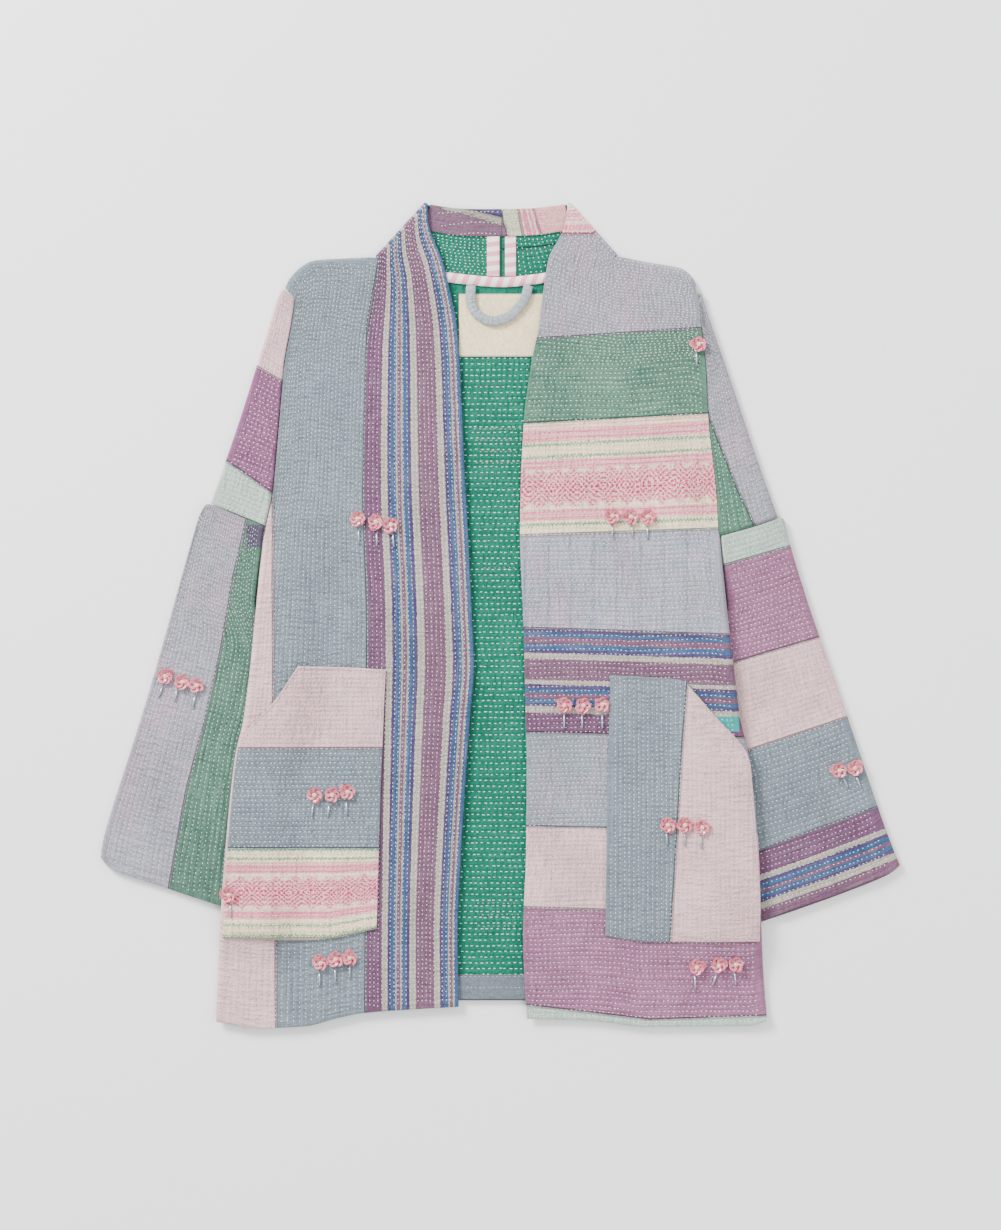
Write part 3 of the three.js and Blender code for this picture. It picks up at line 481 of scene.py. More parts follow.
@dataclass
class ClothWall:
    """A closed wall of cloth over a grid: a detailed face and a coarser inside.

    Args:
        columns: Column places, in the panel's own measure.
        rows: Row places, in the panel's own measure.
        middle: Middle of the wall at each grid place, of shape (columns, rows, 3).
        half: Half of the wall's thickness at each grid place.
        sink: How far the stitches draw the face in.
        patches: Patch number and share across the patch, and the patch's width.
        quilt: Row of stitches and distance along it.
        exists: Which grid cells hold cloth. All of them do where it is left out.
        ring: Whether the last column is the first one again.
        coarse: Grid cells per cell of the inside, across and along.
    """

    columns: Array
    rows: Array
    middle: Array
    half: Array
    sink: Array
    patches: Array
    quilt: Array
    exists: Array | None = None
    ring: bool = False
    coarse: tuple[int, int] = (2, 2)
    face: Array = field(init=False)
    lining: Array = field(init=False)
    normal: Array = field(init=False)

    def __post_init__(self) -> None:
        """Works out the normals and both sides of the wall."""
        if self.exists is None:
            self.exists = np.ones((len(self.columns) - 1, len(self.rows) - 1), bool)
        across = np.gradient(self.middle, axis=0)
        if self.ring:
            joined = self.middle[1] - self.middle[-2]
            across[0], across[-1] = joined, joined
        normal = unit(np.cross(across, np.gradient(self.middle, axis=1)))
        weight = np.sum(normal[..., 2][:, : normal.shape[1] // 2])
        self.normal = normal if weight > 0 else -normal
        self.face = self.middle + self.normal * (self.half - self.sink)[..., None]
        self.lining = self.middle - self.normal * self.half[..., None]

    def at(self, column_place: Array, row_place: Array, inside: bool = False) -> tuple[Array, Array]:
        """Finds places on the wall's surface.

        Args:
            column_place: Places across, in the panel's own measure.
            row_place: Places along, in the panel's own measure.
            inside: Whether the places are on the inside of the wall.

        Returns:
            The places and the outward directions there, each of shape (n, 3).
        """
        i = np.interp(column_place, self.columns, np.arange(len(self.columns)))
        j = np.interp(row_place, self.rows, np.arange(len(self.rows)))
        i0 = np.minimum(i.astype(int), len(self.columns) - 2)
        j0 = np.minimum(j.astype(int), len(self.rows) - 2)
        a, b = (i - i0)[:, None], (j - j0)[:, None]

        def read(grid: Array) -> Array:
            """Returns the grid's values between its four nearest places."""
            low = grid[i0, j0] * (1 - a) + grid[i0 + 1, j0] * a
            high = grid[i0, j0 + 1] * (1 - a) + grid[i0 + 1, j0 + 1] * a
            return low * (1 - b) + high * b

        way = unit(read(self.normal))
        return (read(self.lining), -way) if inside else (read(self.face), way)

    def patch_at(self, places: Array) -> Array:
        """Returns the patch number at each place of shape (n, 3), from the nearest grid places."""
        i = np.linspace(0, len(self.columns) - 1, min(len(self.columns), 160)).astype(int)
        j = np.linspace(0, len(self.rows) - 1, min(len(self.rows), 260)).astype(int)
        grid = self.middle[np.ix_(i, j)].reshape(-1, 3)
        number = self.patches[np.ix_(i, j)][..., 0].ravel()
        tree = KDTree(len(grid))
        for n, point in enumerate(grid):
            tree.insert(point, n)
        tree.balance()
        return np.array([number[tree.find(place)[1]] for place in places])

    def found(self, places: Array) -> tuple[Array, Array]:
        """Finds what lies above places in plan, on the side that faces up.

        Args:
            places: Places in plan, of shape (n, 2).

        Returns:
            The column and row places, in the panel's own measure.
        """
        plan, up = self.middle[..., :2], self.normal[..., 2] > 0.5
        columns, rows = [], []
        for place in places:
            apart = np.where(up, np.linalg.norm(plan - place, axis=-1), np.inf)
            i, j = np.unravel_index(np.argmin(apart), apart.shape)
            i, j = min(max(i, 1), len(self.columns) - 2), min(max(j, 1), len(self.rows) - 2)
            across = (plan[i + 1, j] - plan[i - 1, j]) / (self.columns[i + 1] - self.columns[i - 1])
            along = (plan[i, j + 1] - plan[i, j - 1]) / (self.rows[j + 1] - self.rows[j - 1])
            step = np.linalg.solve(np.stack([across, along], axis=1), place - plan[i, j])
            columns.append(self.columns[i] + step[0])
            rows.append(self.rows[j] + step[1])
        return np.array(columns), np.array(rows)

    def top_at(self, x: float, y: float, reach: float) -> float:
        """Returns the height of the cloth's highest place within reach of a place in plan."""
        up = self.face[self.normal[..., 2] > 0.2]
        apart = np.hypot(up[:, 0] - x, up[:, 1] - y)
        near = up[apart < max(reach, float(apart.min()) + 0.1)]
        return float(near[:, 2].max())

    def build(self, name: str) -> Object:
        """Makes the mesh, with its patch and quilting places as attributes.

        Args:
            name: The object's name.

        Returns:
            The closed wall of cloth.
        """
        wide, long = self.exists.shape
        count = (wide + 1) * (long + 1)
        outer = np.arange(count).reshape(wide + 1, long + 1)
        if self.ring:
            outer[-1] = outer[0]
        inner = outer + count
        i, j = np.nonzero(self.exists)
        faces = np.stack([outer[i, j], outer[i + 1, j], outer[i + 1, j + 1], outer[i, j + 1]], 1).tolist()
        step_i, step_j = self.coarse
        blocks = self.exists[::step_i, ::step_j]
        last_i, last_j = blocks.shape

        def filled(a: int, b: int) -> bool:
            """Tells whether a block of cells holds cloth."""
            if self.ring:
                a %= last_i
            return 0 <= a < last_i and 0 <= b < last_j and bool(blocks[a, b])

        for a, b in zip(*np.nonzero(blocks)):
            i0, j0 = a * step_i, b * step_j
            i1, j1 = i0 + step_i, j0 + step_j
            faces.append([inner[i0, j0], inner[i0, j1], inner[i1, j1], inner[i1, j0]])
            if not filled(a, b - 1):
                faces.append([inner[i0, j0], inner[i1, j0], *outer[i0 : i1 + 1, j0][::-1]])
            if not filled(a, b + 1):
                faces.append([inner[i1, j1], inner[i0, j1], *outer[i0 : i1 + 1, j1]])
            if not filled(a - 1, b):
                faces.append([inner[i0, j1], inner[i0, j0], *outer[i0, j0 : j1 + 1]])
            if not filled(a + 1, b):
                faces.append([inner[i1, j0], inner[i1, j1], *outer[i1, j0 : j1 + 1][::-1]])
        points = np.concatenate([self.face.reshape(-1, 3), self.lining.reshape(-1, 3)])
        used = np.unique(np.concatenate([np.asarray(face) for face in faces]))
        place = np.zeros(len(points), int)
        place[used] = np.arange(len(used))
        obj = new_object(name, points[used], [place[face].tolist() for face in faces])
        outside = np.concatenate([np.ones(count), np.zeros(count)])[:, None]
        for label, marks in (("patches", self.patches), ("quilt", self.quilt)):
            both = np.concatenate([marks.reshape(-1, 2)] * 2)
            mark(obj, label, np.hstack([both, outside])[used])
        return obj


@dataclass(frozen=True)
class StitchLine:
    """One row of running stitches, as places in a panel's own measure."""

    columns: Array
    rows: Array
    inside: bool = False


@dataclass(frozen=True)
class Topstitch:
    """Single lines of stitching in one thread, through places in plan."""

    name: str
    dye: str
    lines: tuple[Places, ...]
    stitch: float = 1.5
    gap: float = 1.3
    thickness: float = 0.6

    def quilting(self) -> Quilting:
        """Returns the sizes of the stitches."""
        return Quilting(stitch=self.stitch, gap=self.gap, thickness=self.thickness)

    def on(self, wall: ClothWall) -> list[StitchLine]:
        """Returns the lines on a wall of cloth."""
        rows: list[StitchLine] = []
        for points in self.lines:
            corners = np.array(points, float)
            run = distances(corners)
            at = np.linspace(0, run[-1], max(8, int(run[-1] / 5)))
            places = np.stack([np.interp(at, run, corners[:, k]) for k in (0, 1)], axis=1)
            rows.append(StitchLine(*wall.found(places)))
        return rows


@dataclass
class Stitches:
    """Running stitches of a panel, joined in one mesh of small closed threads."""

    quilting: Quilting
    seed: int
    proud: float = 0.34
    bury: float = 0.35

    def build(self, name: str, wall: ClothWall, lines: list[StitchLine]) -> Object:
        """Lays a thread for each stitch along the rows.

        Args:
            name: The object's name.
            wall: The cloth that is stitched.
            lines: The rows of stitches.

        Returns:
            All the stitches as one object.
        """
        random = np.random.default_rng(self.seed)
        starts, ends, ways = [], [], []
        for line in lines:
            steps = max(len(line.columns), 120)
            share = np.linspace(0, 1, steps)
            known = np.linspace(0, 1, len(line.columns))
            places, normals = wall.at(
                np.interp(share, known, line.columns), np.interp(share, known, line.rows), line.inside
            )
            run = distances(places)
            period = self.quilting.stitch + self.quilting.gap
            first = np.arange(random.uniform(1, period), run[-1] - self.quilting.stitch - 1, period)
            if len(first) == 0:
                continue
            first = first + random.normal(0, 0.4, len(first))
            last = first + self.quilting.stitch * random.uniform(0.75, 1.2, len(first))

            def read(values: Array, at: Array) -> Array:
                """Returns the values at distances along the row."""
                return np.stack([np.interp(at, run, values[:, k]) for k in range(3)], axis=1)

            way = unit(read(normals, (first + last) / 2))
            side = unit(np.cross(read(places, last) - read(places, first), way))
            drift = side * random.normal(0, 0.16, len(first))[:, None]
            starts.append(read(places, first) + drift)
            ends.append(read(places, last) + drift + side * random.normal(0, 0.18, len(first))[:, None])
            ways.append(way)
        start, end, way = (np.concatenate(part) for part in (starts, ends, ways))
        side = unit(np.cross(end - start, way))
        width = self.quilting.thickness / 2
        rings = [start - way * self.bury]
        for share in (0.16, 0.84):
            centre = start + (end - start) * share
            rings.append(centre - side * width - way * 0.12)
            rings.append(centre + way * self.proud)
            rings.append(centre + side * width - way * 0.12)
        rings.append(end - way * self.bury)
        points = np.stack(rings, axis=1).reshape(-1, 3)
        pattern = [(0, 2, 1), (0, 3, 2), (0, 1, 3), (7, 4, 5), (7, 5, 6), (7, 6, 4)]
        pattern += [(1, 2, 5, 4), (2, 3, 6, 5), (3, 1, 4, 6)]
        faces = [[n * 8 + k for k in face] for n in range(len(start)) for face in pattern]
        obj = new_object(name, points, faces)
        number = np.repeat(wall.patch_at((start + end) / 2), 8)
        mark(obj, "patches", np.stack([number, np.zeros_like(number), np.ones_like(number)], axis=1))
        return obj


@dataclass(frozen=True)
class PatchSeams:
    """Seams between the patches of a panel, in order across it.

    Args:
        heading: Direction that the seams run, with the patches in order to its left.
        lines: For each seam, the places that it passes through.
    """

    heading: Place
    lines: tuple[Places, ...]
    end_width: float = 80

    def marks(self, x: Array, y: Array) -> Array:
        """Numbers the patches.

        Args:
            x: Places across the jacket.
            y: Places up the jacket.

        Returns:
            For each place the patch number plus the share across it, and the patch's width.
        """
        ahead = np.array(self.heading) / np.linalg.norm(self.heading)
        along = x * ahead[0] + y * ahead[1]
        off = y * ahead[0] - x * ahead[1]
        past = []
        for line in self.lines:
            points = np.array(line, float)
            run, side = points @ ahead, points[:, 1] * ahead[0] - points[:, 0] * ahead[1]
            order = np.argsort(run)
            run, side = run[order], side[order]
            slopes = np.diff(side) / np.diff(run)
            far = 1000
            run = np.concatenate([[run[0] - far], run, [run[-1] + far]])
            side = np.concatenate([[side[0] - slopes[0] * far], side, [side[-1] + slopes[-1] * far]])
            past.append(off - np.interp(along, run, side))
        before = np.stack([np.full_like(off, np.nan), *past])
        after = np.stack([*[-d for d in past], np.full_like(off, np.nan)])
        number = np.sum(np.stack(past) > 0, axis=0)
        low = np.take_along_axis(before, number[None], 0)[0]
        high = np.take_along_axis(after, number[None], 0)[0]
        share = low / (low + high)
        share = np.where(np.isnan(low), 1 - np.clip(high / self.end_width, 0, 0.95), share)
        share = np.where(np.isnan(high), np.clip(low / self.end_width, 0, 0.95), share)
        width = np.where(np.isnan(low + high), self.end_width, low + high)
        return np.stack([number + share, width], axis=-1)


def rounded(distance: Array, half: float) -> Array:
    """Returns the share of the wall left near a turned edge, by distance from the edge."""
    return np.sqrt(np.clip(1 - (1 - np.clip(distance / half, 0, 1)) ** 2, 0.0004, 1))


def even_count(length: float, step: float, multiple: int = 2) -> int:
    """Returns how many steps fit a length, as a whole number of cells of the inside."""
    return max(1, round(length / step / multiple)) * multiple


@dataclass
class Front:
    """One front with its half of the stand collar, folded in behind the neck."""

    side: Side
    rows_up: bool
    seams: PatchSeams
    quilting: Quilting
    seed: int
    half: float = WALL / 2
    roll: float = FRONT_MIDDLE - WALL / 2
    fold_radius: float = 2.7
    fold_ease: float = 26
    roll_run_in: float = 30
    edge_trim: float = 0.8
    along_step: float = 3.6
    wrap_length: float = 96

    def __post_init__(self) -> None:
        """Lays out the edges in plan."""
        shape, sign = OUTLINES[self.side], self.side.sign
        side, neck = column(shape.side_seam), column(shape.neck_line)
        opening, hem = column(shape.opening), column(shape.hem)
        tip, base = np.array(shape.fold_tip), np.array(shape.fold_neck)
        along = unit(tip - base)
        self.outward = np.array([sign * abs(along[1]), abs(along[0])])
        inset = self.fold_radius + self.half
        self.fold_neck = base - self.outward * inset
        self.fold_tip = tip - self.outward * inset
        bottom = float(shape.hem[0][1])
        side_x = shape.hem[0][0] - sign * self.half
        self.bottom = float(hem(opening(bottom)))

        def side_line(v: Array) -> Array:
            """Returns places up the side seam and armhole."""
            y = height_at(v, hem(side_x) + self.half, shape.shoulder[0][1] - 1)
            return np.stack([side(y) - sign * self.half, y], axis=-1)

        def neck_line(v: Array) -> Array:
            """Returns places up the line between body and band."""
            y = height_at(v, hem(neck(bottom)), self.fold_neck[1])
            turned = soft((y - CHEST) / (self.fold_neck[1] - CHEST))
            leaning = neck(CHEST) + (self.fold_neck[0] - neck(CHEST)) * turned
            return np.stack([np.where(y > CHEST, leaning, neck(y)), y], axis=-1)

        def open_line(v: Array) -> Array:
            """Returns places up the front opening."""
            y = height_at(v, self.bottom, self.fold_tip[1])
            x = opening(y)
            return np.stack([x + (self.fold_tip[0] - x) * soft((v - 0.93) / 0.07), y], axis=-1)

        def hem_between(start: Array, end: Array) -> PlanLine:
            """Returns the stretch of hem between two places."""

            def line(u: Array) -> Array:
                """Returns places along the hem."""
                x = start[0] + (end[0] - start[0]) * u
                return np.stack([x, hem(x)], axis=-1)

            return line

        low = neck_line(np.array(0.0))
        trimmed = [(x - sign * self.edge_trim, y - self.edge_trim) for x, y in shape.shoulder]
        self.shoulder = through([*trimmed, self.fold_neck])
        lower_edge = hem_between(side_line(np.array(0.0)), low)
        self.body_plan = coons(lower_edge, self.shoulder, side_line, neck_line)
        fold_line = straight(self.fold_neck, self.fold_tip)
        self.band_plan = coons(hem_between(low, open_line(np.array(0.0))), fold_line, neck_line, open_line)
        centre = CENTRE + sign * LIE_GAP / 2
        top = through([self.fold_tip, *shape.collar_top[:-1], (centre, shape.collar_top[-1][1])])
        seam_points = [self.fold_neck, *shape.neck_seam[:-1], (centre, shape.neck_seam[-1][1])]
        seam = through([(x, y + LIE_GAP / 2) for x, y in seam_points])
        start, middle, end = (np.array(share) for share in (0.0, 0.5, 1.0))
        self.back_plan = coons(seam, top, straight(seam(start), self.fold_tip), straight(seam(end), top(end)))
        self.body_width = abs(float(neck_line(middle)[0] - side_line(middle)[0]))
        self.band_width = abs(float(open_line(middle)[0] - neck_line(middle)[0]))
        self.side_line, self.neck_line = side_line, neck_line
        shoulder_y = float(self.shoulder(np.array(0.6))[1])
        self.top_run = (shoulder_y - CHEST) / (1 - CHEST_SHARE)
        self.body_rows = round(self.body_width / self.quilting.pitch)
        self.band_rows = round(self.band_width / self.quilting.pitch)

    def share_at(self, y: Array) -> Array:
        """Returns the share v at a height on the opening."""
        return np.interp(y, [self.bottom, HEM_TOP, CHEST, self.fold_tip[1]], [0, HEM_SHARE, CHEST_SHARE, 1])

    def distance_up(self, row: Array) -> Array:
        """Returns the length of cloth from the hem to a row, over the fold and on to the centre back."""
        main = height_at(np.minimum(row, 1), self.bottom, self.fold_tip[1]) - self.bottom
        over = np.clip(row - 1, 0, 1) * math.pi * self.fold_radius
        return main + over + np.clip(row - 2, 0, 1) * self.wrap_length

    def places(self) -> tuple[Array, Array]:
        """Returns the column and row places of the grid: -1 to 0 rolled, 0 to 1 body, 1 to 2 band,
        and 0 to 1 up the front, 1 to 2 over the fold, 2 to 3 behind the neck."""
        edge = EDGE_STEPS * self.half
        if self.rows_up:
            body = even_count(self.body_rows * FINE_PER_ROW, 1)
            band = self.band_rows * FINE_PER_ROW
            steps = self.along_step
        else:
            body = even_count(self.body_width, self.along_step + 0.6)
            band = round(self.band_width / (self.along_step + 0.6))
            steps = self.quilting.pitch / FINE_PER_ROW
        band -= (band + len(edge) + 1) % 2
        rolled = np.linspace(-1, 0, 6, endpoint=False)
        inner_band = np.linspace(1, 2 - 1.6 * self.half / self.band_width, band)
        across, free = np.linspace(0, 1, body, endpoint=False), 2 - edge[::-1] / self.band_width
        columns = [rolled, across, inner_band, free]
        hem_rows = self.share_at(self.bottom + edge)
        main_top = 1 - self.roll / self.top_run
        main_length = float(self.distance_up(np.array(main_top)))
        main = self.share_at(np.arange(self.bottom + 1.8, self.bottom + main_length, steps))
        turn = np.radians(np.linspace(0, 90, 6))
        top_roll = 1 - self.roll * (1 - np.sin(turn)) / self.top_run
        upper = np.concatenate([hem_rows, main[main < main_top - 0.3 / self.top_run], top_roll])
        if len(upper) % 2 == 0:
            upper = np.delete(upper, len(hem_rows) + 3)
        wrap = even_count(self.wrap_length, steps)
        rows = [upper, 1 + np.arange(1, 9) / 8, 2 + np.arange(1, wrap + 1) / wrap]
        return np.concatenate(columns), np.concatenate(rows)

    def middle(self, columns: Array, rows: Array) -> Array:
        """Works out the middle of the wall.

        Args:
            columns: Column places.
            rows: Row places.

        Returns:
            Places in millimetres, of shape (columns, rows, 3).
        """
        sign = self.side.sign
        c, b = np.meshgrid(columns, rows, indexing="ij")
        body = c < 1
        v = np.minimum(b, 1)
        band = np.clip(c - 1, 0, 1)
        width = np.linalg.norm(self.side_line(v) - self.neck_line(v), axis=-1)
        side_turn = np.radians(np.clip(-c, 0, 1) * 90)
        share = self.roll / width + (1 - self.roll / width) * np.clip(c, 0, 1)
        share = np.where(c < 0, self.roll * (1 - np.sin(side_turn)) / width, share)
        plan = np.where(body[..., None], self.body_plan(share, v), self.band_plan(band, v))
        x, y = plan[..., 0], plan[..., 1]
        from_fold = (self.fold_neck - plan) @ self.outward
        near_neck = soft(1 - from_fold / self.fold_ease) * soft((v - 0.88) / 0.1)
        neckward = np.where(body, soft((share - 0.6) / 0.4), 1)
        calm = soft((1 - v) / 0.08)
        rise = 2 * self.fold_radius + self.half - FRONT_MIDDLE
        z = FRONT_MIDDLE + LIE.lifted(x, y) + rise * near_neck * neckward + LIE.eased(x, y) * calm
        z = z + LIE.creased(x, y) * calm * np.where(body, soft(share * self.body_width / 14), 1)
        side_share = soft((LIE.lift_start - y) / self.roll_run_in) * soft(v / 0.03)
        top_turn = np.arcsin(np.clip(1 - (1 - v) * self.top_run / self.roll, 0, 1))
        top_share = soft((1 - share) * self.body_width / self.roll_run_in)
        drop = (self.roll + LIE.eased(x, y) * calm) * side_share * (1 - np.cos(side_turn))
        drop = drop + self.roll * top_share * (1 - np.cos(top_turn))
        z = z - np.where(body, drop, 0)
        main = np.dstack([plan, z])
        angle = np.radians(np.clip(b - 1, 0, 1) * 180)
        fold = self.fold_neck + (self.fold_tip - self.fold_neck) * band[..., None]
        fold = fold + self.outward * (self.fold_radius * np.sin(angle))[..., None]
        wrapped = self.back_plan(np.clip(b - 2, 0, 1), band)
        behind = np.where((b > 2)[..., None], wrapped, fold)
        turned = np.dstack([behind, self.half + self.fold_radius * (1 + np.cos(angle))])
        return np.where((b > 1)[..., None] & ~body[..., None], turned, main)

    def wall(self) -> ClothWall:
        """Returns the wall of cloth."""
        columns, rows = self.places()
        c, b = np.meshgrid(columns, rows, indexing="ij")
        middle = self.middle(columns, rows)
        up = self.distance_up(b)
        across = np.clip(c, 0, 1) * self.body_width + np.clip(c - 1, 0, 1) * self.band_width
        if self.rows_up:
            row = np.clip(c, 0, 1) * self.body_rows + np.clip(c - 1, 0, 1) * self.band_rows
            along = up
        else:
            row, along = up / self.quilting.pitch, across
        calm = soft(up / 8) * soft((2 - c) * self.band_width / 5)
        calm = calm * np.where(c < 1, soft(c * self.body_width / 6), 1)
        calm = calm * np.where((b > 0.985) & (b < 2.04), 0.25, 1)
        sink = self.quilting.sink(row, along, self.seed) * calm
        free = rounded((2 - c) * self.band_width, self.half) * rounded(up, self.half)
        flat = self.middle(columns, np.minimum(rows, 1))
        patches = self.seams.marks(flat[..., 0], flat[..., 1])
        stripes = np.stack([2 + np.clip(c - 1, 0, 1) * 0.97, np.full_like(c, self.band_width)], axis=-1)
        if self.rows_up:
            patches = np.where((c >= 1)[..., None], stripes, patches)
        exists = (b[:-1, :-1] < 1) | (c[:-1, :-1] >= 1)
        exists = exists & ~((rows[1:] > 1)[None, :] & (columns[:-1] < 1)[:, None])
        quilt = np.stack([row, along], axis=-1)
        return ClothWall(columns, rows, middle, self.half * free, sink, patches, quilt, exists)

    def stitch_lines(self, _: ClothWall) -> list[StitchLine]:
        """Returns the rows of stitches on the face and, behind the neck, on the inside."""
        lines = []
        if self.rows_up:
            over, behind = np.linspace(0.006, 1.4, 160), np.linspace(2.03, 2.99, 30)
            body_top = np.linspace(0.006, 0.995, 140)
            body = np.arange(1, self.body_rows) / self.body_rows
            band = 1 + np.arange(0, self.band_rows) / self.band_rows
            lines += [StitchLine(np.full(140, c), body_top) for c in body]
            lines += [StitchLine(np.full(160, c), over) for c in band]
            lines += [StitchLine(np.full(30, c), behind, True) for c in band[1:]]
            return lines
        probe = np.linspace(0, 3, 3000)
        up = self.distance_up(probe)
        for n in range(1, int(up[-1] / self.quilting.pitch)):
            b = float(np.interp(n * self.quilting.pitch, up, probe))
            if 1.4 < b < 2.03:
                continue
            start = 0.02 if b < 1 else 1.0
            columns = np.linspace(start, 1.985, 90)
            lines.append(StitchLine(columns, np.full(90, b), b > 2))
        return lines


@dataclass
class Back:
    """Back panel, inside up, lifted at the sides over the tucked sleeves."""

    quilting: Quilting
    seed: int
    hem_y: float = -386
    inset: float = 1.7
    trim: float = 7.2
    roll_run_in: float = 30
    neck_trim: float = 3.8
    column_step: float = 5.4
    seen_reach: float = 84

    def __post_init__(self) -> None:
        """Lays out the edges in plan."""
        neck_left, neck_right = LEFT_OUTLINE.neck_seam, RIGHT_OUTLINE.neck_seam

        def edge(side: Side, top: float) -> PlanLine:
            """Returns the edge up one side, inside the rolled seam of the front."""

            def line(v: Array) -> Array:
                """Returns places up the edge."""
                y = height_at(v, self.hem_y - 16, top)
                rolled = soft((LIE.lift_start + 12 - y) / self.roll_run_in)
                x = LIE.sides[side](y) - side.sign * (self.inset + self.trim * rolled)
                return np.stack([x, y], axis=-1)

            return line

        left, right = edge(Side.LEFT, 322), edge(Side.RIGHT, 325)
        ends = np.array(0.0), np.array(1.0)
        hem = through([left(ends[0]), (-120, self.hem_y), (120, self.hem_y), right(ends[0])])
        lowered = [(x, y - self.neck_trim) for x, y in (*neck_left, *neck_right[-2::-1])]
        shoulders = [left(ends[1]), (-203, 335), (-190, 344), (-170, 349), (-125, 350.5), *lowered]
        shoulders += [(120, 350.5), (155, 346), (176, 342), (187, 335), right(ends[1])]
        top = through(shoulders)
        self.plan = coons(hem, top, left, right)
        self.height = 350.5 - self.hem_y

    def wall(self) -> ClothWall:
        """Returns the wall of cloth."""
        columns = np.linspace(0, 1, even_count(540, self.column_step) + 1)
        rows = np.linspace(0, 1, even_count(self.height, self.quilting.pitch / 4) + 1)
        u, v = np.meshgrid(columns, rows, indexing="ij")
        plan = self.plan(u, v)
        x, y = plan[..., 0], plan[..., 1]
        inner = soft((v - HEM_SHARE) / 0.05) * soft((0.86 - v) / 0.1)
        rumple = 0.25 * value_noise(x / 24, y / 28, self.seed) * inner
        z = WALL / 2 + LIE.lifted(x, y) + np.maximum(rumple, 0)
        row = y / self.quilting.pitch
        sink = self.quilting.sink(row, x, self.seed) * soft(v * 60) * soft((1 - v) * 20)
        half = WALL / 2 * rounded(v * self.height, WALL / 2)
        patches = np.stack([np.full_like(u, 0.5), np.full_like(u, 500)], axis=-1)
        quilt = np.stack([row, x], axis=-1)
        return ClothWall(columns, rows, np.dstack([x, y, z]), half, sink, patches, quilt)

    def stitch_lines(self, wall: ClothWall) -> list[StitchLine]:
        """Returns the rows of stitches where the back shows between the fronts."""
        lines, pitch = [], self.quilting.pitch
        centre = wall.middle[len(wall.columns) // 2]
        for n in range(math.ceil(centre[2, 1] / pitch), int(centre[-1, 1] / pitch)):
            y = n * pitch
            columns, rows = [], []
            for i in range(len(wall.columns)):
                line = wall.middle[i]
                j = float(np.interp(y, line[:, 1], np.arange(len(line))))
                if abs(line[int(j), 0]) < self.seen_reach and 0 < j < len(line) - 1:
                    columns.append(wall.columns[i])
                    rows.append(float(np.interp(j, np.arange(len(line)), wall.rows)))
            if len(columns) > 3:
                lines.append(StitchLine(np.array(columns), np.array(rows)))
        return lines


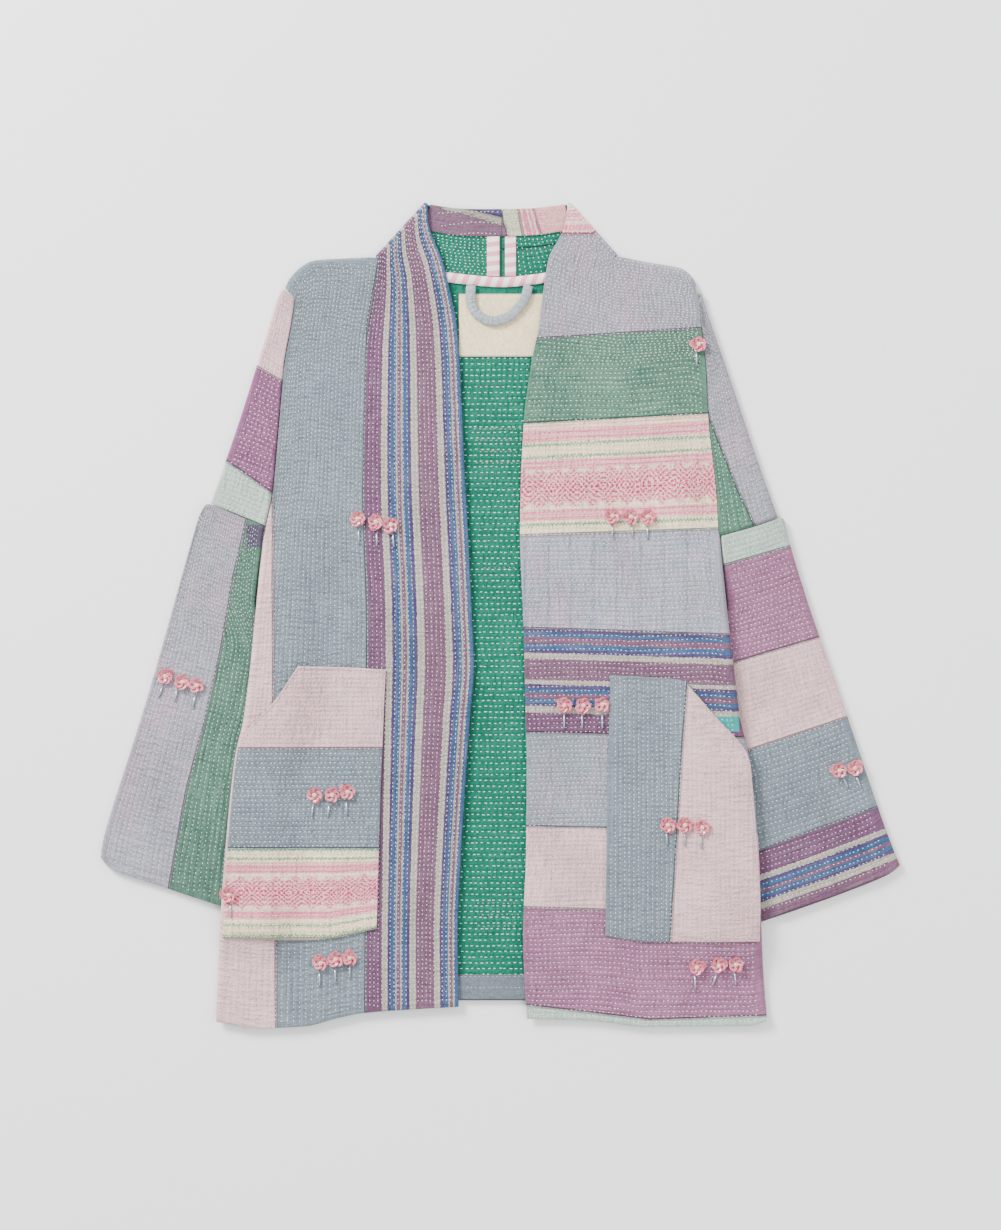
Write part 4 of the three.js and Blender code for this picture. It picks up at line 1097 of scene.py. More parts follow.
@dataclass
class Sleeve:
    """Part of a flattened sleeve, folded along its outer edge. A closed one is folded at both.

    Column places: -2 to -1 below, -1 to 0 round the outer fold, 0 to 1 on top from the outer
    edge inwards, and 1 to 2 round the inner fold of a closed one.
    """

    side: Side
    closed: bool
    rows_up: bool
    seams: PatchSeams
    quilting: Quilting
    seed: int
    length: float
    width: float
    top_height: float = WALL + LOOSE + WALL
    cuff_height: float = 5.6
    tuck_start: float = 12
    tuck_full: float = -50
    seam_gap: float = 0.8
    rumple: float = 0.55

    def __post_init__(self) -> None:
        """Lays out the plan."""
        self.plan = self.lower_plan() if self.closed else self.upper_plan()

    def upper_plan(self) -> Callable[[Array, Array], Array]:
        """Returns the plan of the stretch from the cross seam up to the shoulder."""
        shape, sign = OUTLINES[self.side], self.side.sign
        outer = through(shape.sleeve_edge[::-1])

        def armhole(v: Array) -> Array:
            """Returns places up the armhole."""
            low = shape.cross_seam[-1][1]
            y = low + (shape.upper_end_inner[1] - low) * v
            return np.stack([LIE.sides[self.side](y) - sign * shape.armhole_in, y], axis=-1)

        seam = through([*shape.cross_seam[:2], armhole(np.array(0.0))])
        end = straight(np.array(shape.upper_end_outer, float), armhole(np.array(1.0)))
        return coons(seam, end, outer, armhole)

    def lower_plan(self) -> Callable[[Array, Array], Array]:
        """Returns the plan of the stretch from the cross seam to the cuff."""
        shape, sign = OUTLINES[self.side], self.side.sign
        start = shape.cross_seam[-1][1] - LIE_GAP

        def inner(v: Array) -> Array:
            """Returns places down the inner edge, tucked under the body below the underarm."""
            y = start + (shape.cuff[-1][1] - start) * v
            tucked = LIE.tuck * soft((self.tuck_start - y) / (self.tuck_start - self.tuck_full))
            return np.stack([LIE.sides[self.side](y) + sign * (self.seam_gap - tucked), y], axis=-1)

        lowered = [(x + sign * 2, y - LIE_GAP) for x, y in shape.cross_seam[:-1]]
        seam = through([shape.lower_edge[0], *lowered, inner(np.array(0.0))])
        cuff = through([*shape.cuff[:-1], inner(np.array(1.0))])
        return coons(seam, cuff, through(shape.lower_edge), inner)

    def wall(self) -> ClothWall:
        """Returns the wall of cloth."""
        pitch = self.quilting.pitch
        across_step = pitch / FINE_PER_ROW if self.rows_up else 4.2
        along_step = 3.8 if self.rows_up else pitch / FINE_PER_ROW
        top_rows = round(self.width / pitch)
        top = even_count(top_rows * FINE_PER_ROW if self.rows_up else self.width / across_step, 1)
        below, turn = even_count(self.width, 9), 8
        parts = [np.linspace(-2, -1, below, endpoint=False), np.linspace(-1, 0, turn, endpoint=False)]
        parts.append(np.linspace(0, 1, top, endpoint=False))
        parts.append(np.linspace(1, 2, turn + 1) if self.closed else [1.0])
        columns = np.concatenate(parts)
        edge = EDGE_STEPS * WALL / 2 / self.length
        main = np.linspace(0, 1 - 1.6 * WALL / 2 / self.length, even_count(self.length, along_step) + 1)
        rows = np.concatenate([main, 1 - edge[::-1]])
        w, v = np.meshgrid(columns, rows, indexing="ij")
        height = self.top_height
        if self.closed:
            height = self.top_height + (self.cuff_height - self.top_height) * soft(v * 3)
        radius = height / 2
        layer = radius - WALL / 2
        zero, one = np.zeros_like(v), np.ones_like(v)
        width = np.linalg.norm(self.plan(zero, v) - self.plan(one, v), axis=-1)
        angle = np.radians(np.where(w < 0, np.clip(-w, 0, 1), np.clip(w - 1, 0, 1)) * 180)
        bend = (radius - layer * np.sin(angle)) / width
        inner_end = 1 - radius / width if self.closed else one
        share = np.where(w < -1, -w - 1, np.clip(w, 0, 1))
        flat = radius / width + (inner_end - radius / width) * share
        u = np.where((w >= -1) & (w < 0), bend, np.where(w > 1, 1 - bend, flat))
        plan = self.plan(u, v)
        x, y = plan[..., 0], plan[..., 1]
        on_top = (w >= 0) & (w <= 1)
        ends = soft(share / 0.15) * soft((1 - share) / (0.3 if self.closed else 0.1)) * soft(v / 0.04)
        noise = value_noise(x / 22, y / 30, self.seed) + 0.6 * value_noise(x / 9, y / 12, self.seed + 1)
        lifted = np.where(on_top, self.rumple * (noise + 0.4) * ends, 0)
        z = radius + layer * np.cos(angle) + lifted
        along = v * self.length
        row = share * top_rows if self.rows_up else along / pitch
        across = along if self.rows_up else share * self.width
        calm = np.where(on_top, soft(share * self.width / 4) * soft((1 - share) * self.width / 4), 0)
        calm = calm * soft((1 - v) * self.length / 8)
        sink = self.quilting.sink(row, across, self.seed + 2) * calm
        free = rounded((1 - v) * self.length, WALL / 2) if self.closed else np.ones_like(v)
        half, patches, quilt = WALL / 2 * free, self.seams.marks(x, y), np.stack([row, across], axis=-1)
        return ClothWall(columns, rows, np.dstack([x, y, z]), half, sink, patches, quilt, ring=self.closed)

    def stitch_lines(self, _: ClothWall) -> list[StitchLine]:
        """Returns the rows of stitches on top."""
        if self.rows_up:
            count = round(self.width / self.quilting.pitch)
            rows = np.linspace(0.01, 0.99, 120)
            return [StitchLine(np.full(120, n / count), rows) for n in range(1, count)]
        count = int(self.length / self.quilting.pitch)
        columns = np.linspace(0.03, 0.97 if self.closed else 0.985, 60)
        shares = [n * self.quilting.pitch / self.length for n in range(1, count + 1)]
        return [StitchLine(columns, np.full(60, v)) for v in shares if v < 0.985]


def turned_edges(u: Array, v: Array, width: float, height: float, half: float) -> tuple[Array, Array]:
    """Returns the share of the wall left by a piece's four turned edges, and the nearest edge's distance."""
    apart = [u * width, (1 - u) * width, v * height, (1 - v) * height]
    return np.prod([rounded(distance, half) for distance in apart], axis=0), np.min(apart, axis=0)


@dataclass
class Pocket:
    """Patch pocket with a slanted mouth, sewn onto a front."""

    side: Side
    rows_up: bool
    seams: PatchSeams
    quilting: Quilting
    seed: int
    thickness: float = 1.8
    mouth: float = 2.2
    mouth_from: float = 0.72
    width: float = 152
    height: float = 268

    def wall(self) -> ClothWall:
        """Returns the wall of cloth."""
        shape, pitch = OUTLINES[self.side], self.quilting.pitch
        edges = shape.pocket_bottom, shape.pocket_top, shape.pocket_side, shape.pocket_front
        plan = coons(*(through(edge) for edge in edges))
        steps = (pitch / FINE_PER_ROW, 3.8) if self.rows_up else (3.8, pitch / FINE_PER_ROW)
        places = []
        for length, step in zip((self.width, self.height), steps):
            edge = EDGE_STEPS * self.thickness / 2 / length
            count = even_count(length, step) - 1
            inner = np.linspace(1.6, length / (self.thickness / 2) - 1.6, count) * self.thickness / 2 / length
            places.append(np.concatenate([edge, inner, 1 - edge[::-1]]))
        columns, rows = places
        u, v = np.meshgrid(columns, rows, indexing="ij")
        place = plan(u, v)
        x, y = place[..., 0], place[..., 1]
        opened = self.mouth * soft((v - self.mouth_from) / (1 - self.mouth_from)) * (1 - u)
        sewn = soft((1 - u) * self.width / 7) * soft(v * self.height / 7)
        sewn = sewn * np.where(v < self.mouth_from, soft(u * self.width / 7), 1)
        loose = (LIE_GAP + shape.pocket_clearance - 0.1) * (1 - sewn)
        z = FRONT_MIDDLE + WALL / 2 + LIE_GAP + LIE.raised(x, y) + LIE.creased(x, y) + shape.pocket_clearance
        z = z + opened - loose + self.thickness / 2 + 0.35 * value_noise(x / 17, y / 19, self.seed) * sewn
        free, nearest = turned_edges(u, v, self.width, self.height, self.thickness / 2)
        row = x / pitch if self.rows_up else y / pitch
        along = y if self.rows_up else x
        sink = self.quilting.sink(row, along, self.seed) * soft(nearest / 5)
        sink = sink + 0.35 * np.exp(-(((nearest - 5) / 1.2) ** 2))
        patches, quilt = self.seams.marks(x, y), np.stack([row, along], axis=-1)
        return ClothWall(columns, rows, np.dstack([x, y, z]), self.thickness / 2 * free, sink, patches, quilt)

    def stitch_lines(self, wall: ClothWall) -> list[StitchLine]:
        """Returns the rows of stitches, straight in plan."""
        lines, margin = [], 4
        across = wall.middle[..., 0].T if self.rows_up else wall.middle[..., 1]
        crossed, along = (wall.columns, wall.rows) if self.rows_up else (wall.rows, wall.columns)
        pitch = self.quilting.pitch
        for n in range(math.ceil(across.min() / pitch), int(across.max() / pitch) + 1):
            ends = [(line.min() + margin, line.max() - margin) for line in across]
            met = [k for k, (low, high) in enumerate(ends) if low < n * pitch < high]
            orders = [np.argsort(across[k]) for k in met]
            hits = [np.interp(n * pitch, across[k, order], crossed[order]) for k, order in zip(met, orders)]
            if len(met) > 4:
                places = (np.array(hits), along[met])
                lines.append(StitchLine(*(places if self.rows_up else places[::-1])))
        return lines


@dataclass
class Strip:
    """A thin strip of cloth or tape that lies on the back or the collar, between two lines."""

    lower: PlanLine
    upper: PlanLine
    length: float
    width: float
    thickness: float
    crown: float = 0.0
    base: float = WALL + LIE_GAP
    step: float = 2.2
    rumple: float = 0.18
    seed: int = 31

    def wall(self) -> ClothWall:
        """Returns the strip's wall, marked with the share across it and the distance along it."""
        places = []
        for length in (self.length, self.width):
            edge = EDGE_STEPS * self.thickness / 2 / length
            inner = np.linspace(0, 1, even_count(length, self.step) + 2)[1:-1]
            places.append(np.concatenate([edge, inner[: len(inner) - (len(inner) + 1) % 2], 1 - edge[::-1]]))
        columns, rows = places
        u, v = np.meshgrid(columns, rows, indexing="ij")
        low, high = self.lower(u), self.upper(u)
        plan = low + (high - low) * v[..., None]
        waves = self.rumple * value_noise(plan[..., 0] / 7, plan[..., 1] / 5, self.seed)
        z = self.base + self.thickness / 2 + self.crown * np.sin(np.pi * v) + waves * np.sin(np.pi * v)
        free, nearest = turned_edges(u, v, self.length, self.width, self.thickness / 2)
        sink = 0.22 * np.exp(-(((nearest - 1.6) / 0.6) ** 2)) * (self.thickness > 1)
        patches = np.stack([v * 0.999, np.full_like(u, self.width)], axis=-1)
        quilt = np.stack([v * self.width, u * self.length], axis=-1)
        return ClothWall(columns, rows, np.dstack([plan, z]), self.thickness / 2 * free, sink, patches, quilt)


class Nodes:
    """Adds and links the nodes of one shader tree."""

    def __init__(self, tree: bpy.types.NodeTree) -> None:
        """Starts on a tree, whose first nodes are kept."""
        self.tree = tree

    def add(self, kind: str, inputs: dict | None = None, **settings: object) -> bpy.types.Node:
        """Adds a node.

        Args:
            kind: Blender's name of the node's type.
            inputs: Values or sockets for its inputs, by name or number.
            settings: Values for the node's own properties.

        Returns:
            The new node.
        """
        node = self.tree.nodes.new(kind)
        for name, value in settings.items():
            setattr(node, name, value)
        for name, value in (inputs or {}).items():
            if isinstance(value, Socket):
                self.tree.links.new(value, node.inputs[name])
            else:
                node.inputs[name].default_value = value
        return node

    def maths(self, operation: str, first: object, second: object = 0.0, third: object = 0.0) -> Socket:
        """Returns the result of a sum on values or sockets."""
        node = self.add("ShaderNodeMath", {0: first, 1: second, 2: third}, operation=operation)
        return node.outputs[0]

    def times(self, first: object, second: object, plus: object = None) -> Socket:
        """Returns a product, with a sum added to it where one is given."""
        if plus is None:
            return self.maths("MULTIPLY", first, second)
        return self.maths("MULTIPLY_ADD", first, second, plus)

    def parts(self, vector: object) -> list[Socket]:
        """Returns the three numbers of a vector."""
        return self.add("ShaderNodeSeparateXYZ", {0: vector}).outputs

    def read(self, name: str, output: str = "Vector") -> Socket:
        """Returns what a mesh attribute says at each place."""
        return self.add("ShaderNodeAttribute", attribute_name=name).outputs[output]

    def place(self) -> Socket:
        """Returns each place on the object, in metres."""
        return self.add("ShaderNodeTexCoord").outputs["Object"]

    def bump(self, height: Socket, distance: float, strength: float) -> Socket:
        """Returns the normals of a surface with fine relief."""
        inputs = {"Height": height, "Distance": distance, "Strength": strength}
        return self.add("ShaderNodeBump", inputs).outputs[0]

    def mix(self, factor: object, first: object, second: object, blend: str = "MIX") -> Socket:
        """Returns one colour laid over another by a factor."""
        node = self.add("ShaderNodeMix", {0: factor}, data_type="RGBA", blend_type=blend)
        for socket, value in ((node.inputs[6], first), (node.inputs[7], second)):
            if isinstance(value, Socket):
                self.tree.links.new(value, socket)
            else:
                socket.default_value = (*value, 1)
        return node.outputs[2]

    def scaled(self, vector: object, scale: tuple[float, float, float]) -> Socket:
        """Returns a vector with each part scaled."""
        return self.add("ShaderNodeVectorMath", {0: vector, 1: scale}, operation="MULTIPLY").outputs[0]

    def noise(self, vector: object, scale: float, detail: float = 2, roughness: float = 0.5) -> Socket:
        """Returns a noise value round 0.5 at each place."""
        settings = {"Vector": vector, "Scale": scale, "Detail": detail, "Roughness": roughness}
        return self.add("ShaderNodeTexNoise", settings).outputs["Fac"]

    def between(
        self, value: object, low: float, high: float, to_low: float = 0, to_high: float = 1
    ) -> Socket:
        """Returns a value mapped from one range to another and kept within it."""
        settings = {0: value, 1: low, 2: high, 3: to_low, 4: to_high}
        return self.add("ShaderNodeMapRange", settings, clamp=True).outputs[0]

    def steps(self, value: object, stops: Sequence[tuple[float, str]]) -> Socket:
        """Returns the colour of the last stop at or below the value, for colours as hex digits."""
        node = self.add("ShaderNodeValToRGB", {0: value})
        ramp = node.color_ramp
        ramp.interpolation = "CONSTANT"
        while len(ramp.elements) < len(stops):
            ramp.elements.new(1.0)
        for element, (place, code) in zip(ramp.elements, stops):
            element.position = place
            element.color = (*srgb(code), 1)
        return node.outputs[0]


class Surface:
    """A new material with its nodes and its main shader."""

    def __init__(self, name: str) -> None:
        """Starts the material."""
        self.material = bpy.data.materials.new(name)
        self.material.use_nodes = True
        self.nodes = Nodes(self.material.node_tree)
        self.shader = self.material.node_tree.nodes["Principled BSDF"]

    def finished(self, colour: Socket | str, normal: Socket | None = None, **settings: float) -> Material:
        """Sets the shader's inputs.

        Args:
            colour: A socket, or a plain colour as hex digits.
            normal: Normals with fine relief.
            settings: Values for the other inputs, with their names in small letters and underlines.

        Returns:
            The material.
        """
        inputs = self.shader.inputs
        if isinstance(colour, str):
            inputs["Base Color"].default_value = (*srgb(colour), 1)
        else:
            self.nodes.tree.links.new(colour, inputs["Base Color"])
        if normal:
            self.nodes.tree.links.new(normal, inputs["Normal"])
        for name, value in settings.items():
            label = "Specular IOR Level" if name == "specular" else name.replace("_", " ").title()
            inputs[label].default_value = value
        return self.material


def value_group(name: str, inputs: Sequence[tuple[str, str]], outputs: Sequence[tuple[str, str]]) -> tuple:
    """Starts a shader node group.

    Args:
        name: The group's name.
        inputs: Name and socket type of each input.
        outputs: Name and socket type of each output.

    Returns:
        The group, its nodes, its input node and its output node.
    """
    group = bpy.data.node_groups.new(name, "ShaderNodeTree")
    for label, kind in inputs:
        group.interface.new_socket(label, in_out="INPUT", socket_type=kind)
    for label, kind in outputs:
        group.interface.new_socket(label, in_out="OUTPUT", socket_type=kind)
    nodes = Nodes(group)
    return group, nodes, nodes.add("NodeGroupInput"), nodes.add("NodeGroupOutput")


def cotton_group() -> bpy.types.NodeTree:
    """Builds the group for washed, quilted cotton.

    Returns:
        A group that turns the quilting and patch places into streaks, fading, seam
        shadows and a height.
    """
    vector, value = "NodeSocketVector", "NodeSocketFloat"
    group, nodes, start, end = value_group(
        "washed_cotton",
        [("Quilt", vector), ("Patches", vector), ("Place", vector)],
        [(label, value) for label in ("Streak", "Fade", "Grain", "Seam", "Height", "Blot", "Wave")],
    )
    quilt, place = start.outputs["Quilt"], start.outputs["Place"]
    streak = nodes.noise(nodes.scaled(quilt, (1.7, 0.022, 0)), 1.0, 3, 0.6)
    fine = nodes.noise(nodes.scaled(quilt, (6.5, 0.05, 0)), 1.0, 2, 0.6)
    slub = nodes.times(fine, 0.45, nodes.times(streak, 0.55))
    fade = nodes.noise(place, 14, 3, 0.55)
    grain = nodes.noise(place, 520, 2, 0.7)
    number, width, _ = nodes.parts(start.outputs["Patches"])
    near = nodes.maths("ABSOLUTE", nodes.maths("SUBTRACT", number, nodes.maths("ROUND", number)))
    apart = nodes.times(near, width)
    seam = nodes.between(apart, 0.5, 1.7, 1, 0)
    pucker = nodes.noise(nodes.scaled(quilt, (2.6, 0.42, 0)), 1.0, 2, 0.55)
    ripple = nodes.noise(nodes.scaled(quilt, (0.22, 0.3, 0)), 1.0, 2, 0.5)
    threads = nodes.noise(place, 900, 1, 0.5)
    height = nodes.times(threads, 0.14, nodes.times(pucker, 0.5))
    height = nodes.times(ripple, 0.75, height)
    height = nodes.times(seam, -0.9, height)
    blot = nodes.noise(nodes.scaled(place, (1, 0.55, 1)), 26, 4, 0.6)
    wave = nodes.maths("SUBTRACT", nodes.noise(place, 45, 2, 0.5), 0.5)
    results = {"Streak": slub, "Fade": fade, "Grain": grain, "Seam": seam}
    results.update({"Height": height, "Blot": blot, "Wave": wave})
    for label, socket in results.items():
        group.links.new(socket, end.inputs[label])
    return group


class Print(Enum):
    """How a patch's cloth is patterned."""

    PLAIN = "plain"
    STRIPED = "striped"
    BORDER = "border"
    CHECKED = "checked"


@dataclass(frozen=True)
class Patch:
    """One patch: its dye, the paler dye of its slubs, and its pattern."""

    dye: str
    slub: str
    pattern: Print = Print.PLAIN
    stops: tuple[tuple[float, str], ...] = ()
    thread: str = "FFFFFF"
    blot: str = ""
    rows: tuple[float, ...] = ()
    motif: float = 0.585
    slub_from: float = 0.4
    slub_to: float = 0.66


def stripe_stops(widths: Sequence[tuple[float, str]]) -> tuple[tuple[float, str], ...]:
    """Turns stripe widths into the share at which each stripe starts."""
    total = sum(width for width, _ in widths)
    starts = np.concatenate([[0], np.cumsum([width for width, _ in widths])[:-1]]) / total
    return tuple((float(start), code) for start, (_, code) in zip(starts, widths))


PLUM, CREAM, VIOLET, BLUE, MAUVE = "664060", "A8A295", "453664", "31527B", "6E4A63"
# Widths of the stripes across each striped cloth, with their dyes.
WARP = ((18, PLUM), (6, CREAM), (3.5, VIOLET), (5.6, BLUE), (1.6, CREAM), (3.6, MAUVE), (1.6, CREAM),
        (5.6, BLUE), (3.5, VIOLET), (7, CREAM), (21, MAUVE), (6.5, CREAM), (4, VIOLET), (5.1, BLUE),
        (1.6, CREAM), (3.6, MAUVE), (1.6, CREAM), (5.1, BLUE), (3, VIOLET))
BLUE_GREY = Patch("6A7780", "869199", blot="77828F")
PALE_BLUE = Patch("7D8992", "959EA6", blot="9C8C9C")
LAVENDER = Patch("8C8E9A", "A3A0AA", blot="AC8FA3")
BLUSH = Patch("D6ACB0", "E6C6C5", thread="F4E8E6")
SAGE = Patch("3A6655", "71967F", blot="3E6E5E", slub_from=0.36, slub_to=0.7)
DEEP_SAGE = Patch("335A4B", "678C7A", slub_from=0.36, slub_to=0.7)
ORCHID = Patch("835173", "AC7C98", slub_from=0.36, slub_to=0.72)
DEEP_ORCHID = Patch("74436A", "9C6A88", slub_from=0.36, slub_to=0.72)
MINT = Patch("A9BBAF", "BDCBC0")
PLAID = Patch("8F95A1", "A6A9B1", Print.CHECKED, blot="B090A8")
STRIPED = Patch(PLUM, "A58BA0", Print.STRIPED, stripe_stops(WARP))


@dataclass(frozen=True)
class QuiltedCotton:
    """Cotton in patches with a lining of another dye, quilted."""

    name: str
    patches: tuple[Patch, ...]
    lining: Patch
    bump: float = 0.0028
    roughness: float = 0.88
    sheen: float = 0.12
    spots: tuple[tuple[float, float, float, float, str], ...] = ()
    jag: float = 2.4
    jag_scale: float = 420
    motif_step: float = 24.0
    stroke_pitch: float = 5.2
    border_height: float = 100.0

    def colour(self, nodes: Nodes, patch: Patch, share: object, place: object, marks: dict) -> object:
        """Returns the colour of one patch.

        Args:
            nodes: The tree to add nodes to.
            patch: The patch's dyes and pattern.
            share: How far across the patch each place is.
            place: Places in metres.
            marks: The streaks, fading and grain of the cloth.

        Returns:
            A colour socket.
        """
        if patch.pattern is Print.STRIPED:
            base = nodes.steps(share, patch.stops)
            pale = nodes.between(marks["Streak"], 0.45, 0.75, 0, 0.22)
            return nodes.mix(pale, base, srgb("C3BAC0"))
        if patch.pattern is Print.BORDER:
            return self.border(nodes, patch, share, place, marks)
        pale = nodes.between(marks["Streak"], patch.slub_from, patch.slub_to)
        base = nodes.mix(pale, srgb(patch.dye), srgb(patch.slub))
        if patch.blot:
            base = nodes.mix(nodes.between(marks["Blot"], 0.46, 0.7, 0, 0.6), base, srgb(patch.blot))
        if patch.pattern is Print.CHECKED:
            base = self.checks(nodes, base, place)
        return base

    def checks(self, nodes: Nodes, base: object, place: object) -> object:
        """Lays faint woven checks over a colour."""
        for distance, pitch, code in zip(nodes.parts(place), (23.0, 19.0), ("787F95", "AF93B4")):
            part = nodes.maths("FRACT", nodes.times(distance, 1 / (pitch * MM)))
            line = nodes.maths("LESS_THAN", part, 0.14)
            base = nodes.mix(nodes.times(line, 0.4), base, srgb(code))
        return base

    def border(self, nodes: Nodes, patch: Patch, share: object, place: object, marks: dict) -> object:
        """Weaves the pink border: stripes, speckled green rows and a row of leaf strokes."""
        base = nodes.steps(nodes.times(marks["Wave"], 0.012, share), patch.stops)
        across = nodes.times(nodes.parts(place)[0], 1 / MM)
        drift = nodes.maths("SUBTRACT", marks["Grain"], 0.5)
        for centre in patch.rows:
            wave = nodes.maths("PINGPONG", across, 1.7)
            gap = nodes.times(wave, 0.011, nodes.maths("SUBTRACT", centre - 0.009, share))
            gap = nodes.maths("ABSOLUTE", nodes.times(drift, 0.05, gap))
            line = nodes.between(gap, 0.009, 0.014, 0.85, 0)
            base = nodes.mix(line, base, srgb("4E9C76"))
        lift = nodes.times(nodes.maths("SUBTRACT", share, patch.motif), self.border_height)
        lift = nodes.times(marks["Wave"], 2.5, lift)
        run = nodes.maths("PINGPONG", nodes.times(marks["Blot"], 14.0, across), self.motif_step / 2)
        height = nodes.maths("ABSOLUTE", lift)
        leaf = nodes.times(height, -1.1, run)
        leaf = nodes.times(marks["Wave"], 11.0, nodes.times(drift, 3.6, leaf))
        strokes = nodes.maths("PINGPONG", leaf, self.stroke_pitch / 2)
        woven = nodes.between(strokes, self.stroke_pitch * 0.14, self.stroke_pitch * 0.26)
        breaks = nodes.times(height, 1.1, nodes.times(drift, 5.0, run))
        breaks = nodes.between(nodes.maths("PINGPONG", breaks, 2.6), 0.3, 0.7)
        woven = nodes.times(woven, breaks)
        bunch = nodes.times(nodes.maths("SINE", nodes.times(across, 0.36)), 2.2, 15.5)
        bunch = nodes.times(drift, 9.0, bunch)
        inside = nodes.maths("LESS_THAN", height, bunch)
        middle = nodes.between(height, 3.0, 16.0, 1, 0.72)
        amount = nodes.times(nodes.times(woven, inside), middle)
        base = nodes.mix(nodes.times(inside, 0.6), base, srgb("F0A0B4"))
        return nodes.mix(amount, base, srgb("CB2C69"))

    def build(self) -> Material:
        """Makes the material.

        Returns:
            A material that reads the patches and quilt attributes of the cloth.
        """
        surface = Surface(self.name)
        nodes = surface.nodes
        quilt, patches, place = nodes.read("quilt"), nodes.read("patches"), nodes.place()
        group = nodes.add("ShaderNodeGroup", node_tree=bpy.data.node_groups["washed_cotton"])
        for label, socket in (("Quilt", quilt), ("Patches", patches), ("Place", place)):
            nodes.tree.links.new(socket, group.inputs[label])
        marks = {label: group.outputs[label] for label in ("Streak", "Fade", "Grain", "Seam", "Blot", "Wave")}
        number, width, outside = nodes.parts(patches)
        jag = nodes.maths("SUBTRACT", nodes.noise(place, self.jag_scale, 1), 0.5)
        number = nodes.maths("ADD", number, nodes.maths("DIVIDE", nodes.times(jag, self.jag), width))
        for n, patch in enumerate(self.patches):
            share = nodes.maths("SUBTRACT", number, float(n))
            layer = self.colour(nodes, patch, share, place, marks)
            colour = nodes.mix(nodes.maths("GREATER_THAN", number, float(n)), colour, layer) if n else layer
        for x, y, wide, high, dye in self.spots:
            across, up, _ = nodes.parts(place)
            hit = nodes.maths("COMPARE", across, x * MM, wide * MM / 2)
            hit = nodes.times(hit, nodes.maths("COMPARE", up, y * MM, high * MM / 2))
            colour = nodes.mix(hit, colour, srgb(dye))
        # Painted shade: the colour is darkened towards grey-purple along the seams between patches.
        colour = nodes.mix(nodes.times(marks["Seam"], 0.34), colour, srgb("7C7480"))
        inside = self.colour(nodes, self.lining, 0.5, place, marks)
        colour = nodes.mix(nodes.maths("GREATER_THAN", outside, 0.5), inside, colour)
        fade = nodes.between(marks["Fade"], 0.3, 0.7, 0.86, 1.1)
        grain = nodes.between(marks["Grain"], 0.25, 0.75, 0.9, 1.1)
        # Painted shade and light: by the relief's height, the colour is darkened in the quilting valleys and
        # seams and lightened on the puffs. The fading and grain multiplied with it are the cloth's own.
        quilt_shade = nodes.between(group.outputs["Height"], 0.42, 0.95, 0.73, 1.13)
        tone_and_shade = nodes.times(nodes.times(fade, grain), quilt_shade)
        grey = nodes.add("ShaderNodeCombineXYZ", {0: tone_and_shade, 1: tone_and_shade, 2: tone_and_shade}).outputs[0]
        colour = nodes.mix(1.0, colour, grey, "MULTIPLY")
        bump = nodes.bump(group.outputs["Height"], self.bump, 1.0)
        return surface.finished(colour, bump, roughness=self.roughness, sheen_weight=self.sheen, specular=0.2)


@dataclass(frozen=True)
class PatchThread:
    """Quilting thread, dyed to suit each patch that it crosses."""

    name: str
    patches: tuple[Patch, ...]
    roughness: float = 0.7

    def build(self) -> Material:
        """Makes the material, which reads the patch under each stitch."""
        surface = Surface(self.name)
        nodes, count = surface.nodes, len(self.patches) + 1
        share = nodes.times(nodes.parts(nodes.read("patches"))[0], 1 / count)
        stops = [(n / count, patch.thread) for n, patch in enumerate(self.patches)]
        if len(stops) == 1:
            stops.append((0.99, stops[0][1]))
        return surface.finished(nodes.steps(share, stops), roughness=self.roughness, sheen_weight=0.2)


@dataclass(frozen=True)
class Thread:
    """Plain surface of one colour."""

    name: str
    dye: str
    roughness: float = 0.8

    def build(self) -> Material:
        """Makes the material."""
        return Surface(self.name).finished(self.dye, roughness=self.roughness, specular=0.2)


@dataclass(frozen=True)
class Tape:
    """Cotton tape woven with slanted stripes across it."""

    name: str
    pitch: float
    slant: float
    dark: str = "EE9DAD"
    pale: str = "F6F0EC"
    share: float = 0.5
    blur: float = 0.08
    roughness: float = 0.8

    def build(self) -> Material:
        """Makes the material, which reads distances along and across the tape."""
        surface = Surface(self.name)
        nodes = surface.nodes
        place = nodes.place()
        across, along, _ = nodes.parts(nodes.read("quilt"))
        along = nodes.times(nodes.noise(place, 300, 2), 0.9, nodes.times(across, self.slant, along))
        part = nodes.maths("FRACT", nodes.times(along, 1 / self.pitch))
        end = nodes.between(part, self.share, self.share + self.blur, 1, 0)
        band = nodes.times(nodes.between(part, 0, self.blur), end)
        colour = nodes.mix(band, srgb(self.pale), srgb(self.dark))
        bump = nodes.bump(nodes.noise(place, 800, 2), 0.0003, 0.8)
        return surface.finished(colour, bump, roughness=self.roughness, sheen_weight=0.1)


